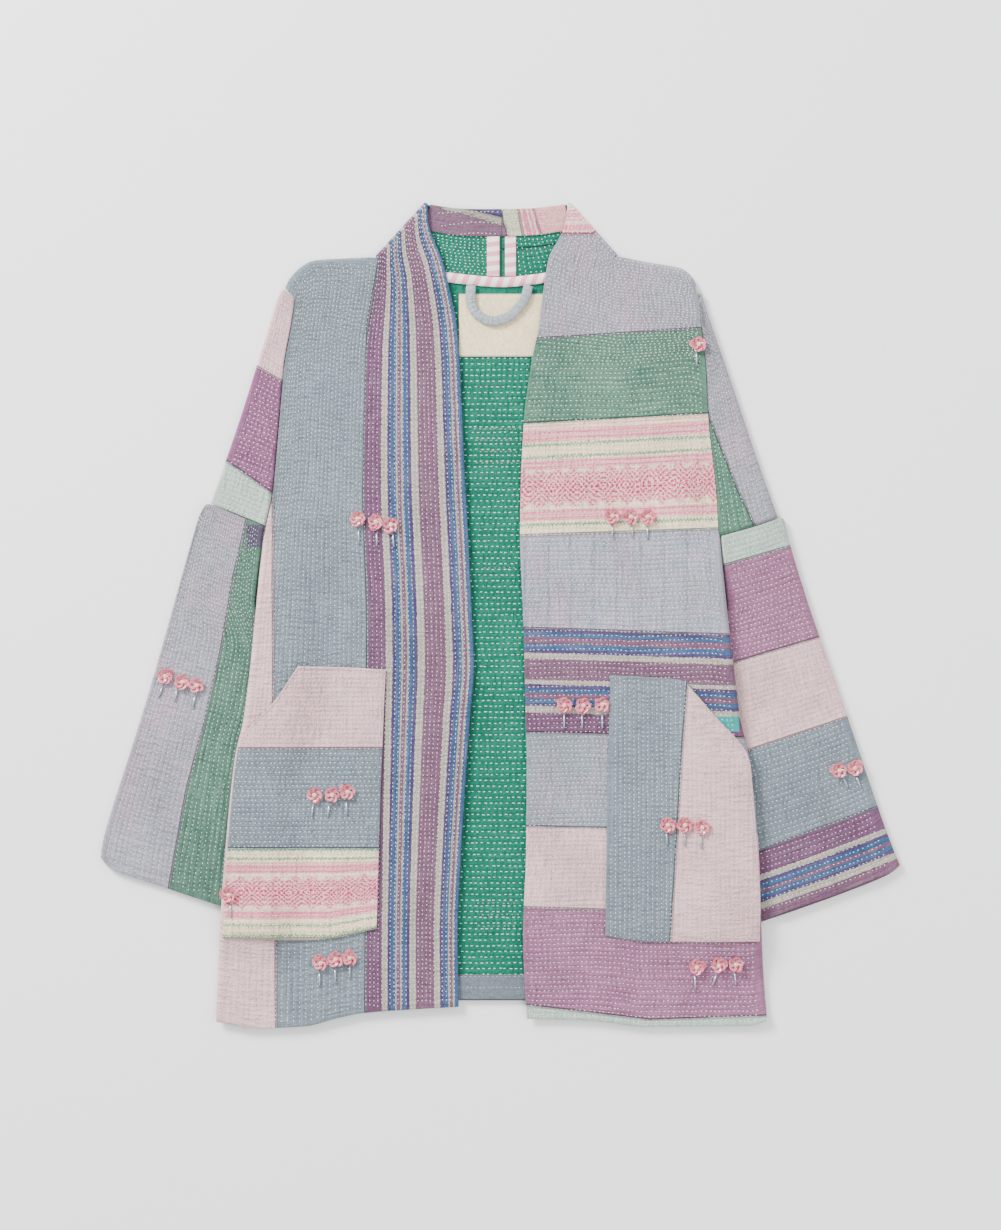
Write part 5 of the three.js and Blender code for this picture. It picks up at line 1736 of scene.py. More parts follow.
@dataclass
class HangerLoop:
    """Cloth loop at the back neck: a soft flat tube that ends under the neck binding."""

    path: Places = (
        (-29, 329), (-29, 314), (-24, 301.5), (-10, 293.5), (5, 296), (17.5, 305.5), (25, 316), (28.5, 329),
    )
    width: float = 9.6
    height: float = 4.0
    base: float = WALL + LIE_GAP + LABEL + LIE_GAP
    around: int = 28
    steps: int = 96

    def build(self, name: str) -> Object:
        """Makes the tube with a stitched seam along its outer side.

        Args:
            name: The object's name.

        Returns:
            The closed tube.
        """
        line = through(self.path)
        t = np.linspace(0, 1, self.steps + 1)
        centre = line(t)
        ahead = unit(np.gradient(centre, axis=0))
        angle = np.linspace(0, 2 * np.pi, self.around, endpoint=False)
        puff = 1 + 0.05 * value_noise(t[:, None] * 26, angle[None, :] * 1.2, 3)
        ends = 0.55 + 0.45 * soft(t / 0.05) * soft((1 - t) / 0.05)
        wide = self.width / 2 * np.cos(angle)[None, :] * puff
        high = self.height / 2 * np.sign(np.sin(angle)) * np.abs(np.sin(angle)) ** 0.8
        seam = 0.35 * np.exp(-(((angle - 0.9) / 0.12) ** 2))
        high = (high - seam)[None, :] * puff * ends[:, None]
        middle = self.base + self.height / 2
        x = centre[:, :1] - ahead[:, 1:] * wide
        y = centre[:, 1:] + ahead[:, :1] * wide
        points = np.dstack([x, y, middle + high]).reshape(-1, 3)
        number = np.arange(len(points)).reshape(self.steps + 1, self.around)
        beside = np.roll(number, -1, axis=1)
        faces = np.stack([number[:-1], number[1:], beside[1:], beside[:-1]], axis=-1).reshape(-1, 4).tolist()
        faces += [number[0].tolist(), number[-1][::-1].tolist()]
        obj = new_object(name, points, faces)
        length = float(np.sum(np.linalg.norm(np.diff(centre, axis=0), axis=1)))
        across = np.tile(angle * self.width / np.pi / 6, self.steps + 1)
        quilt = np.stack([across, np.repeat(t * length, self.around), np.ones(len(points))], axis=1)
        mark(obj, "quilt", quilt)
        mark(obj, "patches", np.tile([0.5, 40.0, 1.0], (len(points), 1)))
        return obj


@dataclass(frozen=True)
class SequinPlastic:
    """Glossy pink plastic of the cupped sequins."""

    name: str = "pink_sequin"
    dye: str = "DB6A80"
    pale: str = "EC9AA6"
    # Dark colour painted round the hole as shade.
    hole: str = "5A2330"
    rim: str = "B8485F"
    roughness: float = 0.2
    coat: float = 0.7

    def build(self) -> Material:
        """Makes the material."""
        surface = Surface(self.name)
        nodes = surface.nodes
        cloud = nodes.between(nodes.noise(nodes.place(), 260, 1), 0.4, 0.62)
        colour = nodes.mix(cloud, srgb(self.dye), srgb(self.pale))
        reach = nodes.read("reach", "Fac")
        # Painted shade: the plastic round each sequin's hole is darkened, standing in for the shadow seen
        # through the hole.
        colour = nodes.mix(nodes.between(reach, 0.18, 0.31), srgb(self.hole), colour)
        colour = nodes.mix(nodes.between(reach, 0.93, 1.0, 0, 0.5), colour, srgb(self.rim))
        return surface.finished(colour, roughness=self.roughness, coat_weight=self.coat, coat_roughness=0.08)


@dataclass(frozen=True)
class BeadGloss:
    """Glossy bead: pearl, or glass with a silver lining."""

    name: str
    dye: str
    metallic: float
    roughness: float

    def build(self) -> Material:
        """Makes the material."""
        coat = {"coat_weight": 1.0, "coat_roughness": 0.05}
        return Surface(self.name).finished(self.dye, metallic=self.metallic, roughness=self.roughness, **coat)


def shape_of(obj: Object) -> tuple[Array, list]:
    """Takes a model's vertices, in millimetres, and faces, and deletes the model."""
    mesh = obj.data
    points = np.zeros(len(mesh.vertices) * 3, np.float32)
    mesh.vertices.foreach_get("co", points)
    faces = [list(face.vertices) for face in mesh.polygons]
    bpy.data.objects.remove(obj)
    bpy.data.meshes.remove(mesh)
    return points.reshape(-1, 3) / MM, faces


def turned(points: Array, axis: str, angle: float) -> Array:
    """Returns points turned round an axis through the origin, by an angle in radians."""
    first, second = {"x": (1, 2), "y": (2, 0), "z": (0, 1)}[axis]
    result = points.copy()
    result[:, first] = points[:, first] * math.cos(angle) - points[:, second] * math.sin(angle)
    result[:, second] = points[:, first] * math.sin(angle) + points[:, second] * math.cos(angle)
    return result


@dataclass
class SequinFlower:
    """Flower of cupped sequins round a cluster of pearls, with a glass tube for a stem."""

    petal_radius: float = 4.4
    petal_ring: float = 3.9
    petal_tilt: float = 0.42
    petal_roll: float = 0.26
    pearl_radius: float = 0.95
    stem_radius: float = 1.0
    petal_lift: float = 1.9
    loose_share: float = 0.75
    loose_ring: float = 1.45
    loose_lift: float = 0.9
    pearl_ring: float = 1.4
    pearl_lift: float = 3.0
    top_lift: float = 3.5
    pearls_round: int = 6
    head_reach: float = 5
    stem_reach: float = 2.5

    def petal(self) -> tuple[Array, list]:
        """Models one cupped sequin with its hole, lying flat at the origin."""
        radius = self.petal_radius * MM
        bpy.ops.object.select_all(action="DESELECT")
        bpy.ops.mesh.primitive_circle_add(vertices=14, radius=radius)
        obj = bpy.context.object
        bpy.ops.object.mode_set(mode="EDIT")
        bpy.ops.mesh.select_all(action="SELECT")
        for scale, drop in ((0.72, -0.7), (0.56, -0.25), (0.42, -0.05)):
            bpy.ops.mesh.extrude_edges_move(TRANSFORM_OT_translate={"value": (0, 0, drop * MM)})
            bpy.ops.transform.resize(value=(scale, scale, 1))
        bpy.ops.object.mode_set(mode="OBJECT")
        wall = obj.modifiers.new("thickness", "SOLIDIFY")
        wall.thickness = 0.28 * MM
        wall.offset = 0
        bpy.ops.object.modifier_apply(modifier=wall.name)
        return shape_of(obj)

    def pearl(self) -> tuple[Array, list]:
        """Models one round pearl at the origin."""
        bpy.ops.object.select_all(action="DESELECT")
        bpy.ops.mesh.primitive_uv_sphere_add(segments=10, ring_count=7, radius=self.pearl_radius * MM)
        return shape_of(bpy.context.object)

    def stem(self) -> tuple[Array, list]:
        """Models one glass tube, a millimetre long, along X from the origin, with rounded rims."""
        bpy.ops.object.select_all(action="DESELECT")
        bpy.ops.mesh.primitive_cylinder_add(
            vertices=10, radius=self.stem_radius * MM, depth=MM,
            location=(MM / 2, 0, 0), rotation=(0, math.pi / 2, 0),
        )
        bpy.ops.object.transform_apply(location=True, rotation=True, scale=True)
        bpy.ops.object.mode_set(mode="EDIT")
        bpy.ops.mesh.select_mode(type="FACE")
        bpy.ops.mesh.select_all(action="DESELECT")
        bpy.ops.object.mode_set(mode="OBJECT")
        obj = bpy.context.object
        for face in obj.data.polygons:
            face.select = abs(face.normal.x) > 0.9
        bpy.ops.object.mode_set(mode="EDIT")
        bpy.ops.mesh.inset(thickness=0.25 * MM, use_individual=True)
        bpy.ops.mesh.extrude_region_move(TRANSFORM_OT_translate={"value": (0, 0, 0)})
        bpy.ops.object.mode_set(mode="OBJECT")
        return shape_of(obj)


@dataclass(frozen=True)
class FlowerRow:
    """A short row of flowers on a panel.

    Args:
        name: The row's name.
        panel: The CAD node that it is sewn to.
        flowers: Centre, stem start and stem end of each, across and down the picture in pixels.
    """

    name: str
    panel: str
    flowers: tuple[tuple[float, ...], ...]

    def build(self, kit: dict, walls: dict[str, ClothWall], seed: int) -> tuple[Object, Object]:
        """Sews the row onto its panel.

        Args:
            kit: The modelled petal, pearl and stem.
            walls: The walls of cloth by node.
            seed: Number that varies the flowers.

        Returns:
            The sequins with their pearls, and the stems.
        """
        random = np.random.default_rng(seed)
        model = SequinFlower()
        heads, stems = MeshBatch(), MeshBatch()
        wall, (petal, petal_faces) = walls[self.panel], kit["petal"]
        reach = np.linalg.norm(petal[:, :2], axis=1) / model.petal_radius
        for pixels in self.flowers:
            x, x0, x1 = (across - PICTURE_MIDDLE[0] for across in pixels[::2])
            y, y0, y1 = (PICTURE_MIDDLE[1] - down for down in pixels[1::2])
            ground = wall.top_at(x, y, model.head_reach)
            count = int(random.integers(5, 7))
            start = random.uniform(0, 2 * np.pi)
            for n in range(count):
                angle = start + 2 * np.pi * n / count + random.normal(0, 0.08)
                points = turned(petal * random.uniform(0.9, 1.06), "x", model.petal_roll)
                points = turned(points, "y", -model.petal_tilt + random.normal(0, 0.08))
                ring = model.petal_ring + random.normal(0, 0.25)
                points = points + [ring, 0, model.petal_lift + random.normal(0, 0.15)]
                heads.add(turned(points, "z", angle) + [x, y, ground], petal_faces, 0, reach)
            if random.random() < model.loose_share:
                angle = random.uniform(0, 2 * np.pi)
                points = turned(petal * 0.9, "x", random.uniform(-0.5, 0.5))
                points = points + [model.petal_ring * model.loose_ring, 0, model.loose_lift]
                points = turned(points, "z", angle)
                heads.add(points + [x, y, ground], petal_faces, 0, reach)
            for n in range(model.pearls_round + 1):
                angle = 2 * np.pi * n / model.pearls_round
                on_top = n == model.pearls_round
                away, lift = (0, model.top_lift) if on_top else (model.pearl_ring, model.pearl_lift)
                centre = [x + away * math.cos(angle), y + away * math.sin(angle), ground + lift]
                heads.add(kit["pearl"][0] * random.uniform(0.7, 1.0) + centre, kit["pearl"][1], 1)
            low, high = wall.top_at(x0, y0, model.stem_reach), wall.top_at(x1, y1, model.stem_reach)
            run = np.array([x1 - x0, y1 - y0, high - low])
            length = float(np.linalg.norm(run))
            points = turned(kit["stem"][0] * [length, 1, 1], "y", -math.asin(run[2] / length))
            points = turned(points, "z", math.atan2(run[1], run[0]))
            stems.add(points + [x0, y0, low + model.stem_radius * 0.9], kit["stem"][1], 0)
        return heads.build(f"flowers_{self.name}"), stems.build(f"stems_{self.name}")


class MeshBatch:
    """Collects copies of small models and makes them one object."""

    def __init__(self) -> None:
        """Starts empty."""
        self.points: list[Array] = []
        self.reach: list[Array] = []
        self.faces: list[list[int]] = []
        self.slots: list[int] = []
        self.count = 0

    def add(self, points: Array, faces: list, slot: int, reach: Array | None = None) -> None:
        """Adds a copy.

        Args:
            points: Its vertices in millimetres.
            faces: Its faces.
            slot: Number of its material.
            reach: How far each vertex is from the model's middle, as a share, if it matters.
        """
        self.points.append(points)
        self.reach.append(np.full(len(points), 0.7) if reach is None else reach)
        self.faces += [[k + self.count for k in face] for face in faces]
        self.slots += [slot] * len(faces)
        self.count += len(points)

    def build(self, name: str) -> Object:
        """Makes the object.

        Args:
            name: The object's name.

        Returns:
            All the copies as one object.
        """
        obj = new_object(name, np.concatenate(self.points), self.faces, solid=False)
        obj.data.polygons.foreach_set("material_index", self.slots)
        mark(obj, "reach", np.concatenate(self.reach))
        return obj


FLOWER_ROWS = (
    FlowerRow("chest_left", "front_left", (
        (358, 519, 359, 530, 359, 544), (376, 522, 377, 533, 377, 546), (391, 525, 393, 534, 394, 547),
    )),
    FlowerRow("sleeve_left", "sleeve_lower_left", (
        (166, 676, 163.5, 686, 159, 697), (183, 681.5, 178, 689, 175, 701), (197.5, 685, 196, 695, 193, 707),
    )),
    FlowerRow("pocket_left", "pocket_left", (
        (315, 794, 314, 804, 312, 816), (333, 794, 330, 804, 328, 816), (348, 791, 347, 801, 347, 814),
    )),
    FlowerRow("hem_left", "front_left", (
        (321, 962, 320, 972, 320, 985), (336, 958, 335.5, 967, 335.5, 981), (350, 957, 350, 964, 350, 977),
    )),
    FlowerRow("pocket_left_side", "pocket_left", ((230, 893, 232, 903, 232, 915),)),
    FlowerRow("chest_right", "front_right", (
        (612, 516, 612, 525, 612, 538), (630, 517, 632, 525, 632, 537), (647, 517, 647, 526, 647, 539),
    )),
    FlowerRow("shoulder_right", "front_right", ((698, 345, 696, 352, 696, 366),)),
    FlowerRow("waist_right", "front_right", (
        (564, 705, 564, 714, 564, 728), (583, 705, 582, 714, 582, 728), (602, 704, 602, 714, 602, 728),
    )),
    FlowerRow("pocket_right", "pocket_right", (
        (667, 824, 666, 831, 666, 844), (684, 824, 684, 831, 684, 845), (701, 826, 700, 833, 700, 847),
    )),
    FlowerRow("hem_right", "front_right", (
        (696, 966, 694.5, 974, 694.5, 988), (718, 964, 716, 973, 712, 984), (735, 963, 734, 971, 735, 984),
    )),
    FlowerRow("sleeve_right", "sleeve_lower_right", (
        (838.5, 770, 842, 776, 847, 787), (854, 767.5, 855.5, 776, 860, 788),
    )),
)


@dataclass(frozen=True)
class Studio:
    """Pale floor, soft lamps and the camera straight above."""

    seen_height: float = 1.23
    lens: float = 85
    sensor: float = 36
    centre: Place = (0.0005, 0.0)
    farthest: float = 20
    floor_size: float = 8
    floor_drop: float = 0.0006
    light: float = 1.1

    def floor(self) -> None:
        """Lays the pale floor under the jacket."""
        bpy.ops.object.select_all(action="DESELECT")
        bpy.ops.mesh.primitive_plane_add(size=self.floor_size, location=(0, 0, -self.floor_drop))
        floor = bpy.context.object
        floor.name = "floor"
        bpy.ops.object.transform_apply(location=True, rotation=True, scale=True)
        floor.data.materials.append(Thread("pale_floor", "FFFFFF", roughness=0.95).build())

    def lamps(self) -> None:
        """Hangs a large soft lamp at the upper left and fills from all sides."""
        world = bpy.data.worlds.new("studio")
        world.use_nodes = True
        background = world.node_tree.nodes["Background"].inputs
        background["Color"].default_value = (1, 1, 1, 1)
        background["Strength"].default_value = self.light
        bpy.context.scene.world = world
        for name, place, size, power in (
            ("key", (-2.3, 2.45, 1.9), 1.3, 345),
            ("fill", (1.7, -0.6, 2.2), 2.0, 36),
        ):
            lamp = bpy.data.lights.new(name, "AREA")
            lamp.size = size
            lamp.energy = power
            holder = bpy.data.objects.new(name, lamp)
            holder.location = place
            aim = -np.array(place)
            turn_z = math.atan2(aim[1], aim[0]) - math.pi / 2
            tilt = math.atan2(math.hypot(aim[0], aim[1]), -aim[2])
            holder.rotation_euler = (tilt, 0, turn_z)
            bpy.context.scene.collection.objects.link(holder)

    def camera(self) -> None:
        """Sets the camera so that a millimetre in the row frame is a pixel of the picture."""
        camera = bpy.data.cameras.new("camera")
        camera.lens = self.lens
        camera.sensor_width = self.sensor
        holder = bpy.data.objects.new("camera", camera)
        distance = self.seen_height * self.lens / self.sensor
        holder.location = (*self.centre, distance)
        camera.clip_end = self.farthest
        bpy.context.scene.collection.objects.link(holder)
        bpy.context.scene.camera = holder

    def build(self) -> None:
        """Sets up the whole studio."""
        self.floor()
        self.lamps()
        self.camera()


LEFT_NECK = tuple((x, y) for y, x in LEFT_OUTLINE.neck_line)
SEAMS = {
    "front_left": PatchSeams((0, -1), (((-226.5, 126), (-223, -410)), LEFT_NECK)),
    "front_right": PatchSeams((-1, 0), (
        ((40, 380), (235, 380)),
        ((31, 275), (200, 286)),
        ((24, 191), (208, 201)),
        ((21, 79), (219, 86)),
        ((23, -13), (229, -20)),
        ((25, -117), (240, -122)),
        ((26, -211), (255, -216)),
        ((25, -292), (260, -299)),
        ((24, -389), (150, -404), (265, -400)),
    )),
    "sleeve_upper_left": PatchSeams((-0.87, 0.5), (((-240, 246), (-219, 234)), ((-272, 153), (-228, 122)))),
    "sleeve_lower_left": PatchSeams((0, -1), (
        ((-253, 93), (-266, 37), (-278, -33), (-295, -109), (-312, -171), (-330, -272)),
    )),
    "sleeve_upper_right": PatchSeams((0, -1), (((212, 190), (237, 126), (254, 90)),)),
    "sleeve_lower_right": PatchSeams((-0.95, -0.31), (
        ((225, 50), (288, 68)),
        ((235, -47), (319, -22)),
        ((248, -135), (344, -103)),
        ((260, -235), (376, -192)),
        ((228, -316), (262, -306), (334, -281), (384, -261)),
    )),
    "pocket_left": PatchSeams((-1, 0), (
        ((-275, -133), (-115, -133)), ((-275, -232), (-115, -233)),
        ((-276, -322), (-170, -323), (-123, -313)),
    )),
    "pocket_right": PatchSeams((0, -1), (((186, -75), (182, -129), (177, -215), (170, -325)),)),
    "collar_facing_left": PatchSeams((0.95, -0.3), (
        ((-52.5, 406), (1, 390)), ((-35, 406), (1, 397.5)), ((-15, 406), (1, 403)),
    )),
    "collar_facing_right": PatchSeams((0, -1), (
        ((2, 407), (8, 379)), ((18, 407), (23, 380)), ((33, 407), (41, 380)),
    )),
}
BORDER = Patch("E6DCD2", "F6DFBE", Print.BORDER, rows=(0.2, 0.31, 0.91), motif=0.585, stops=(
    (0.0, "F6DFBE"), (0.02, "EE9FAE"), (0.035, "F6DFBE"), (0.055, "F1ABAE"), (0.085, "E47C96"),
    (0.1, "F1ABAE"), (0.135, "E47C96"), (0.15, "F1ABAE"), (0.175, "F6DFBE"), (0.335, "F0A6AB"),
    (0.35, "E37994"), (0.362, "F1ABAE"), (0.39, "E37994"), (0.402, "F0A6AB"), (0.42, "F6DFBE"),
    (0.755, "F6DFBE"), (0.775, "F0A6AB"), (0.79, "E37994"), (0.803, "F1ABAE"), (0.84, "E47C96"),
    (0.852, "F0A6AB"), (0.872, "F6DFBE"), (0.97, "EFE3C4"),
))
POCKET_BORDER = Patch("E6DCD2", "F6DFBE", Print.BORDER, rows=(0.02, 0.115, 0.85, 0.965), motif=0.49, stops=(
    (0.0, "BFE0C4"), (0.015, "F6DFBE"), (0.15, "F1ABAE"), (0.165, "F6DFBE"), (0.175, "F0A6AB"),
    (0.19, "E47C96"), (0.205, "EE9CA6"), (0.245, "E37994"), (0.258, "F0A6AB"), (0.275, "F6DFBE"),
    (0.3, "F6D2C0"), (0.685, "F0A6AB"), (0.7, "E37994"), (0.715, "EE9CA6"), (0.745, "E47C96"),
    (0.76, "F1ABAE"), (0.78, "F6DFBE"), (0.955, "F2E9A8"), (0.97, "EBE6C0"),
))
GREEN = Patch("06654E", "187B63")
CUFF_WARP = ((30, PLUM), (7, CREAM), (4, VIOLET), (7, BLUE), (5, MAUVE), (7, BLUE), (4, VIOLET),
             (9, CREAM), (16, MAUVE))
CUFF = Patch(PLUM, "8C6E86", Print.STRIPED, stripe_stops(CUFF_WARP))
ACROSS = ((3.5, VIOLET), (5, BLUE), (7, MAUVE), (6, BLUE), (4, VIOLET), (6, CREAM), (22, MAUVE),
          (5, CREAM), (4, VIOLET), (5, BLUE), (6, MAUVE), (5, BLUE), (3, VIOLET), (7, CREAM), (21, PLUM))
STRIPED_ACROSS = Patch(PLUM, "8C6E86", Print.STRIPED, stripe_stops(ACROSS))
COLLAR_PRINT = Patch(PLUM, "D8D2D6", Print.STRIPED, (
    (0.0, "F1E2C4"), (0.6, "BFD9C0"), (0.63, "F4E0CC"), (0.7, "EA91A5"), (0.72, "F4D4CC"), (0.735, "EA91A5"),
    (0.79, "F4CCC6"), (0.81, "EA91A5"), (0.83, "F3D0C2"), (0.88, "EC8DA2"), (0.95, "F4CFC2"),
    (0.97, "E97E9A"),
))
MAUVE_CLOTH = Patch(MAUVE, "96788D")
ZIGZAG_CLOTH = Patch("F1E2C4", "9FC4A6")
PINK_STRIPES = Patch("EC8DA2", "F6D4CA", Print.STRIPED, stripe_stops((
    (2, "EA91A5"), (1.5, "F6DCD0"), (5, "E9889C"), (1.5, "F6DCD0"), (3, "EA91A5"), (2, "F6DCD0"),
    (2, "EA91A5"),
)))
PINK_MOTIF = Patch("F3C4BE", "E46C90")
COTTONS = {
    "back": (GREEN,),
    "front_left": (BLUSH, BLUE_GREY, STRIPED),
    "front_right": (
        COLLAR_PRINT, LAVENDER, SAGE, BORDER, PLAID, STRIPED_ACROSS, PALE_BLUE, BLUSH, ORCHID, MINT,
    ),
    "sleeve_upper_left": (BLUSH, DEEP_ORCHID, MINT),
    "sleeve_lower_left": (LAVENDER, DEEP_SAGE),
    "sleeve_upper_right": (SAGE, LAVENDER),
    "sleeve_lower_right": (MINT, ORCHID, BLUSH, BLUE_GREY, CUFF, CUFF),
    "pocket_left": (BLUSH, BLUE_GREY, POCKET_BORDER, BLUSH),
    "pocket_right": (BLUE_GREY, BLUSH),
    "collar_facing_left": (
        MAUVE_CLOTH, Patch(CREAM, "B8B3A8"), Patch(VIOLET, "6F6695"), Patch(BLUE, "6D86AC"),
    ),
    "collar_facing_right": (MAUVE_CLOTH, ZIGZAG_CLOTH, PINK_STRIPES, PINK_MOTIF),
    "back_hem_facing": (BLUE_GREY,),
    "neck_label": (Patch("F4DDB2", "F8E7C4"),),
    "hanger_loop": (Patch("9BA5AC", "ADB6BC"),),
}

SPOTS = {
    "front_right": ((226.5, -108.5, 23, 15, "2E9E98"),),
    "sleeve_lower_left": ((-244, 79, 18, 22, "514B5E"),),
}
SEAM_THREAD, CREAM_THREAD = "6E6879", "FFF3D8"
TOPSTITCHES = {
    "front_left": (Topstitch("hem", SEAM_THREAD, (
        ((-276, -388), (-225, -389.5), (-150, -386), (-124, -385)),
    )),),
    "front_right": (Topstitch("hem", SEAM_THREAD, (
        ((76, 370), (68, 315), (57, 250), (50, 195), (47, 120), (49, 0), (51, -105), (52, -235),
         (50, -320), (52, -378)),
        ((54, -379), (85, -380), (120, -383), (140, -386), (258, -385)),
    )),),
    "sleeve_lower_left": (Topstitch("cuff", SEAM_THREAD, (((-389, -240), (-330, -262), (-262, -290)),)),),
    "sleeve_lower_right": (Topstitch("cuff", SEAM_THREAD, (((389, -236), (334, -257), (262, -283)),)),),
    "pocket_left": (Topstitch("edge", SEAM_THREAD, (
        ((-273.5, -318.5), (-269, -235), (-259.5, -141), (-250.5, -118)),
        ((-250, -115), (-222.5, -86.5), (-200, -54)), ((-199, -54), (-158, -54.6), (-117, -57)),
        ((-116.5, -58), (-121.5, -180), (-125.5, -310.5)),
        ((-273, -319), (-212, -322), (-170, -320.5), (-127, -311.5)),
        ((-171, -56.5), (-217, -116)),
    )),),
    "pocket_right": (Topstitch("edge", SEAM_THREAD, (
        ((255.5, -322), (256.3, -285), (253.8, -237), (248.8, -172), (242.5, -138)),
        ((242, -136), (214.7, -105), (190, -77)), ((188, -75.5), (179.5, -67.5), (150, -64.6), (113, -62.6)),
        ((112.5, -63), (109.5, -190), (107.6, -317)),
        ((108, -318), (140, -323), (170, -323.4), (255, -322.5)),
        ((188, -97), (241, -160)),
    )),),
    "neck_label": (Topstitch("edge", CREAM_THREAD, (
        ((-39.3, 319), (-39.3, 259.7), (47.3, 259.7), (47.3, 319)),
    ), stitch=2.0, gap=0.9, thickness=0.7),),
    "collar_facing_left": (Topstitch("edge", "FFFFFF", (
        ((-56, 377), (-30, 381.8), (0, 380.6)), ((-62, 388), (-30, 392.5), (0, 391.5)),
        ((-66, 401), (-30, 403), (0, 402.5)),
    ), 1.8, 2.4, 0.8),),
    "collar_facing_right": (Topstitch("edge", "FFFFFF", (
        ((4, 380.6), (30, 381.8), (56, 378.4)), ((4, 391.5), (30, 392.5), (60, 389)),
        ((4, 402.5), (30, 403), (62, 401.5)),
    ), 1.8, 2.4, 0.8),),
    "back_hem_facing": (Topstitch("edge", "F6F1EA", (
        ((-60, -361), (60, -361)), ((-60, -372), (60, -372)),
    ), 1.8, 2.6),),
    "back": (
        Topstitch("plum", "6E3A60", (
            ((-25, 230), (6, 230)), ((-22, 140), (2, 140)), ((-15, 90), (2, 89)),
        ), 2.4, 2.2, 0.8),
        Topstitch("pink", "E9A3B2", (
            ((-28, 186), (24, 186)), ((-26, 174.6), (25, 174.6)), ((-24, 163.2), (23, 163.2)),
            ((-27, 151.8), (25, 151.8)),
            ((-24, -288), (19, -288)), ((-22, -299.4), (21, -299.4)), ((-25, -310.8), (20, -310.8)),
            ((-20, 47), (20, 47)),
        ), 2.0, 3.0, 0.8),
    ),
}


FACING_DEPTH = 27.0
TAPE_WIDTH = 10.0
BINDING_CLEARANCE = 0.6
# Inner and outer edge of each seam binding, from the centre seam.
BINDING_EDGES = {Side.LEFT: (-2.5, -15), Side.RIGHT: (3, 14)}
# Strips that run straight across: left, right, low and high edge, thickness, slot and look.
LEVEL_STRIPS = {
    "back_hem_facing": (-176.0, 176.0, -385, -359, TRIM, "patch_cloth", {"lining": BLUE_GREY}),
    "neck_label": (-41.0, 49.0, 258, 321, LABEL, "label", {"bump": 0.0002}),
}

# Each panel's flat width and length in metres, and its area in square metres.
CUTS = {
    "back": ((0.545, 0.745), 0.341),
    "front_left": ((0.25, 0.90), 0.154),
    "front_right": ((0.245, 0.90), 0.148),
    "sleeve_lower_left": ((0.27, 0.36), 0.0855),
    "sleeve_lower_right": ((0.28, 0.375), 0.090),
    "sleeve_upper_left": ((0.075, 0.24), 0.0149),
    "sleeve_upper_right": ((0.07, 0.235), 0.0135),
    "pocket_left": ((0.154, 0.272), 0.0335),
    "pocket_right": ((0.154, 0.266), 0.031),
}


def cotton(node: str, lining: Patch | None = None, **settings: object) -> Material:
    """Returns a node's quilted cotton; a piece without a lining has its first patch on both faces."""
    own = COTTONS[node]
    return QuiltedCotton(f"cotton_{node}", own, lining or own[0], **settings).build()


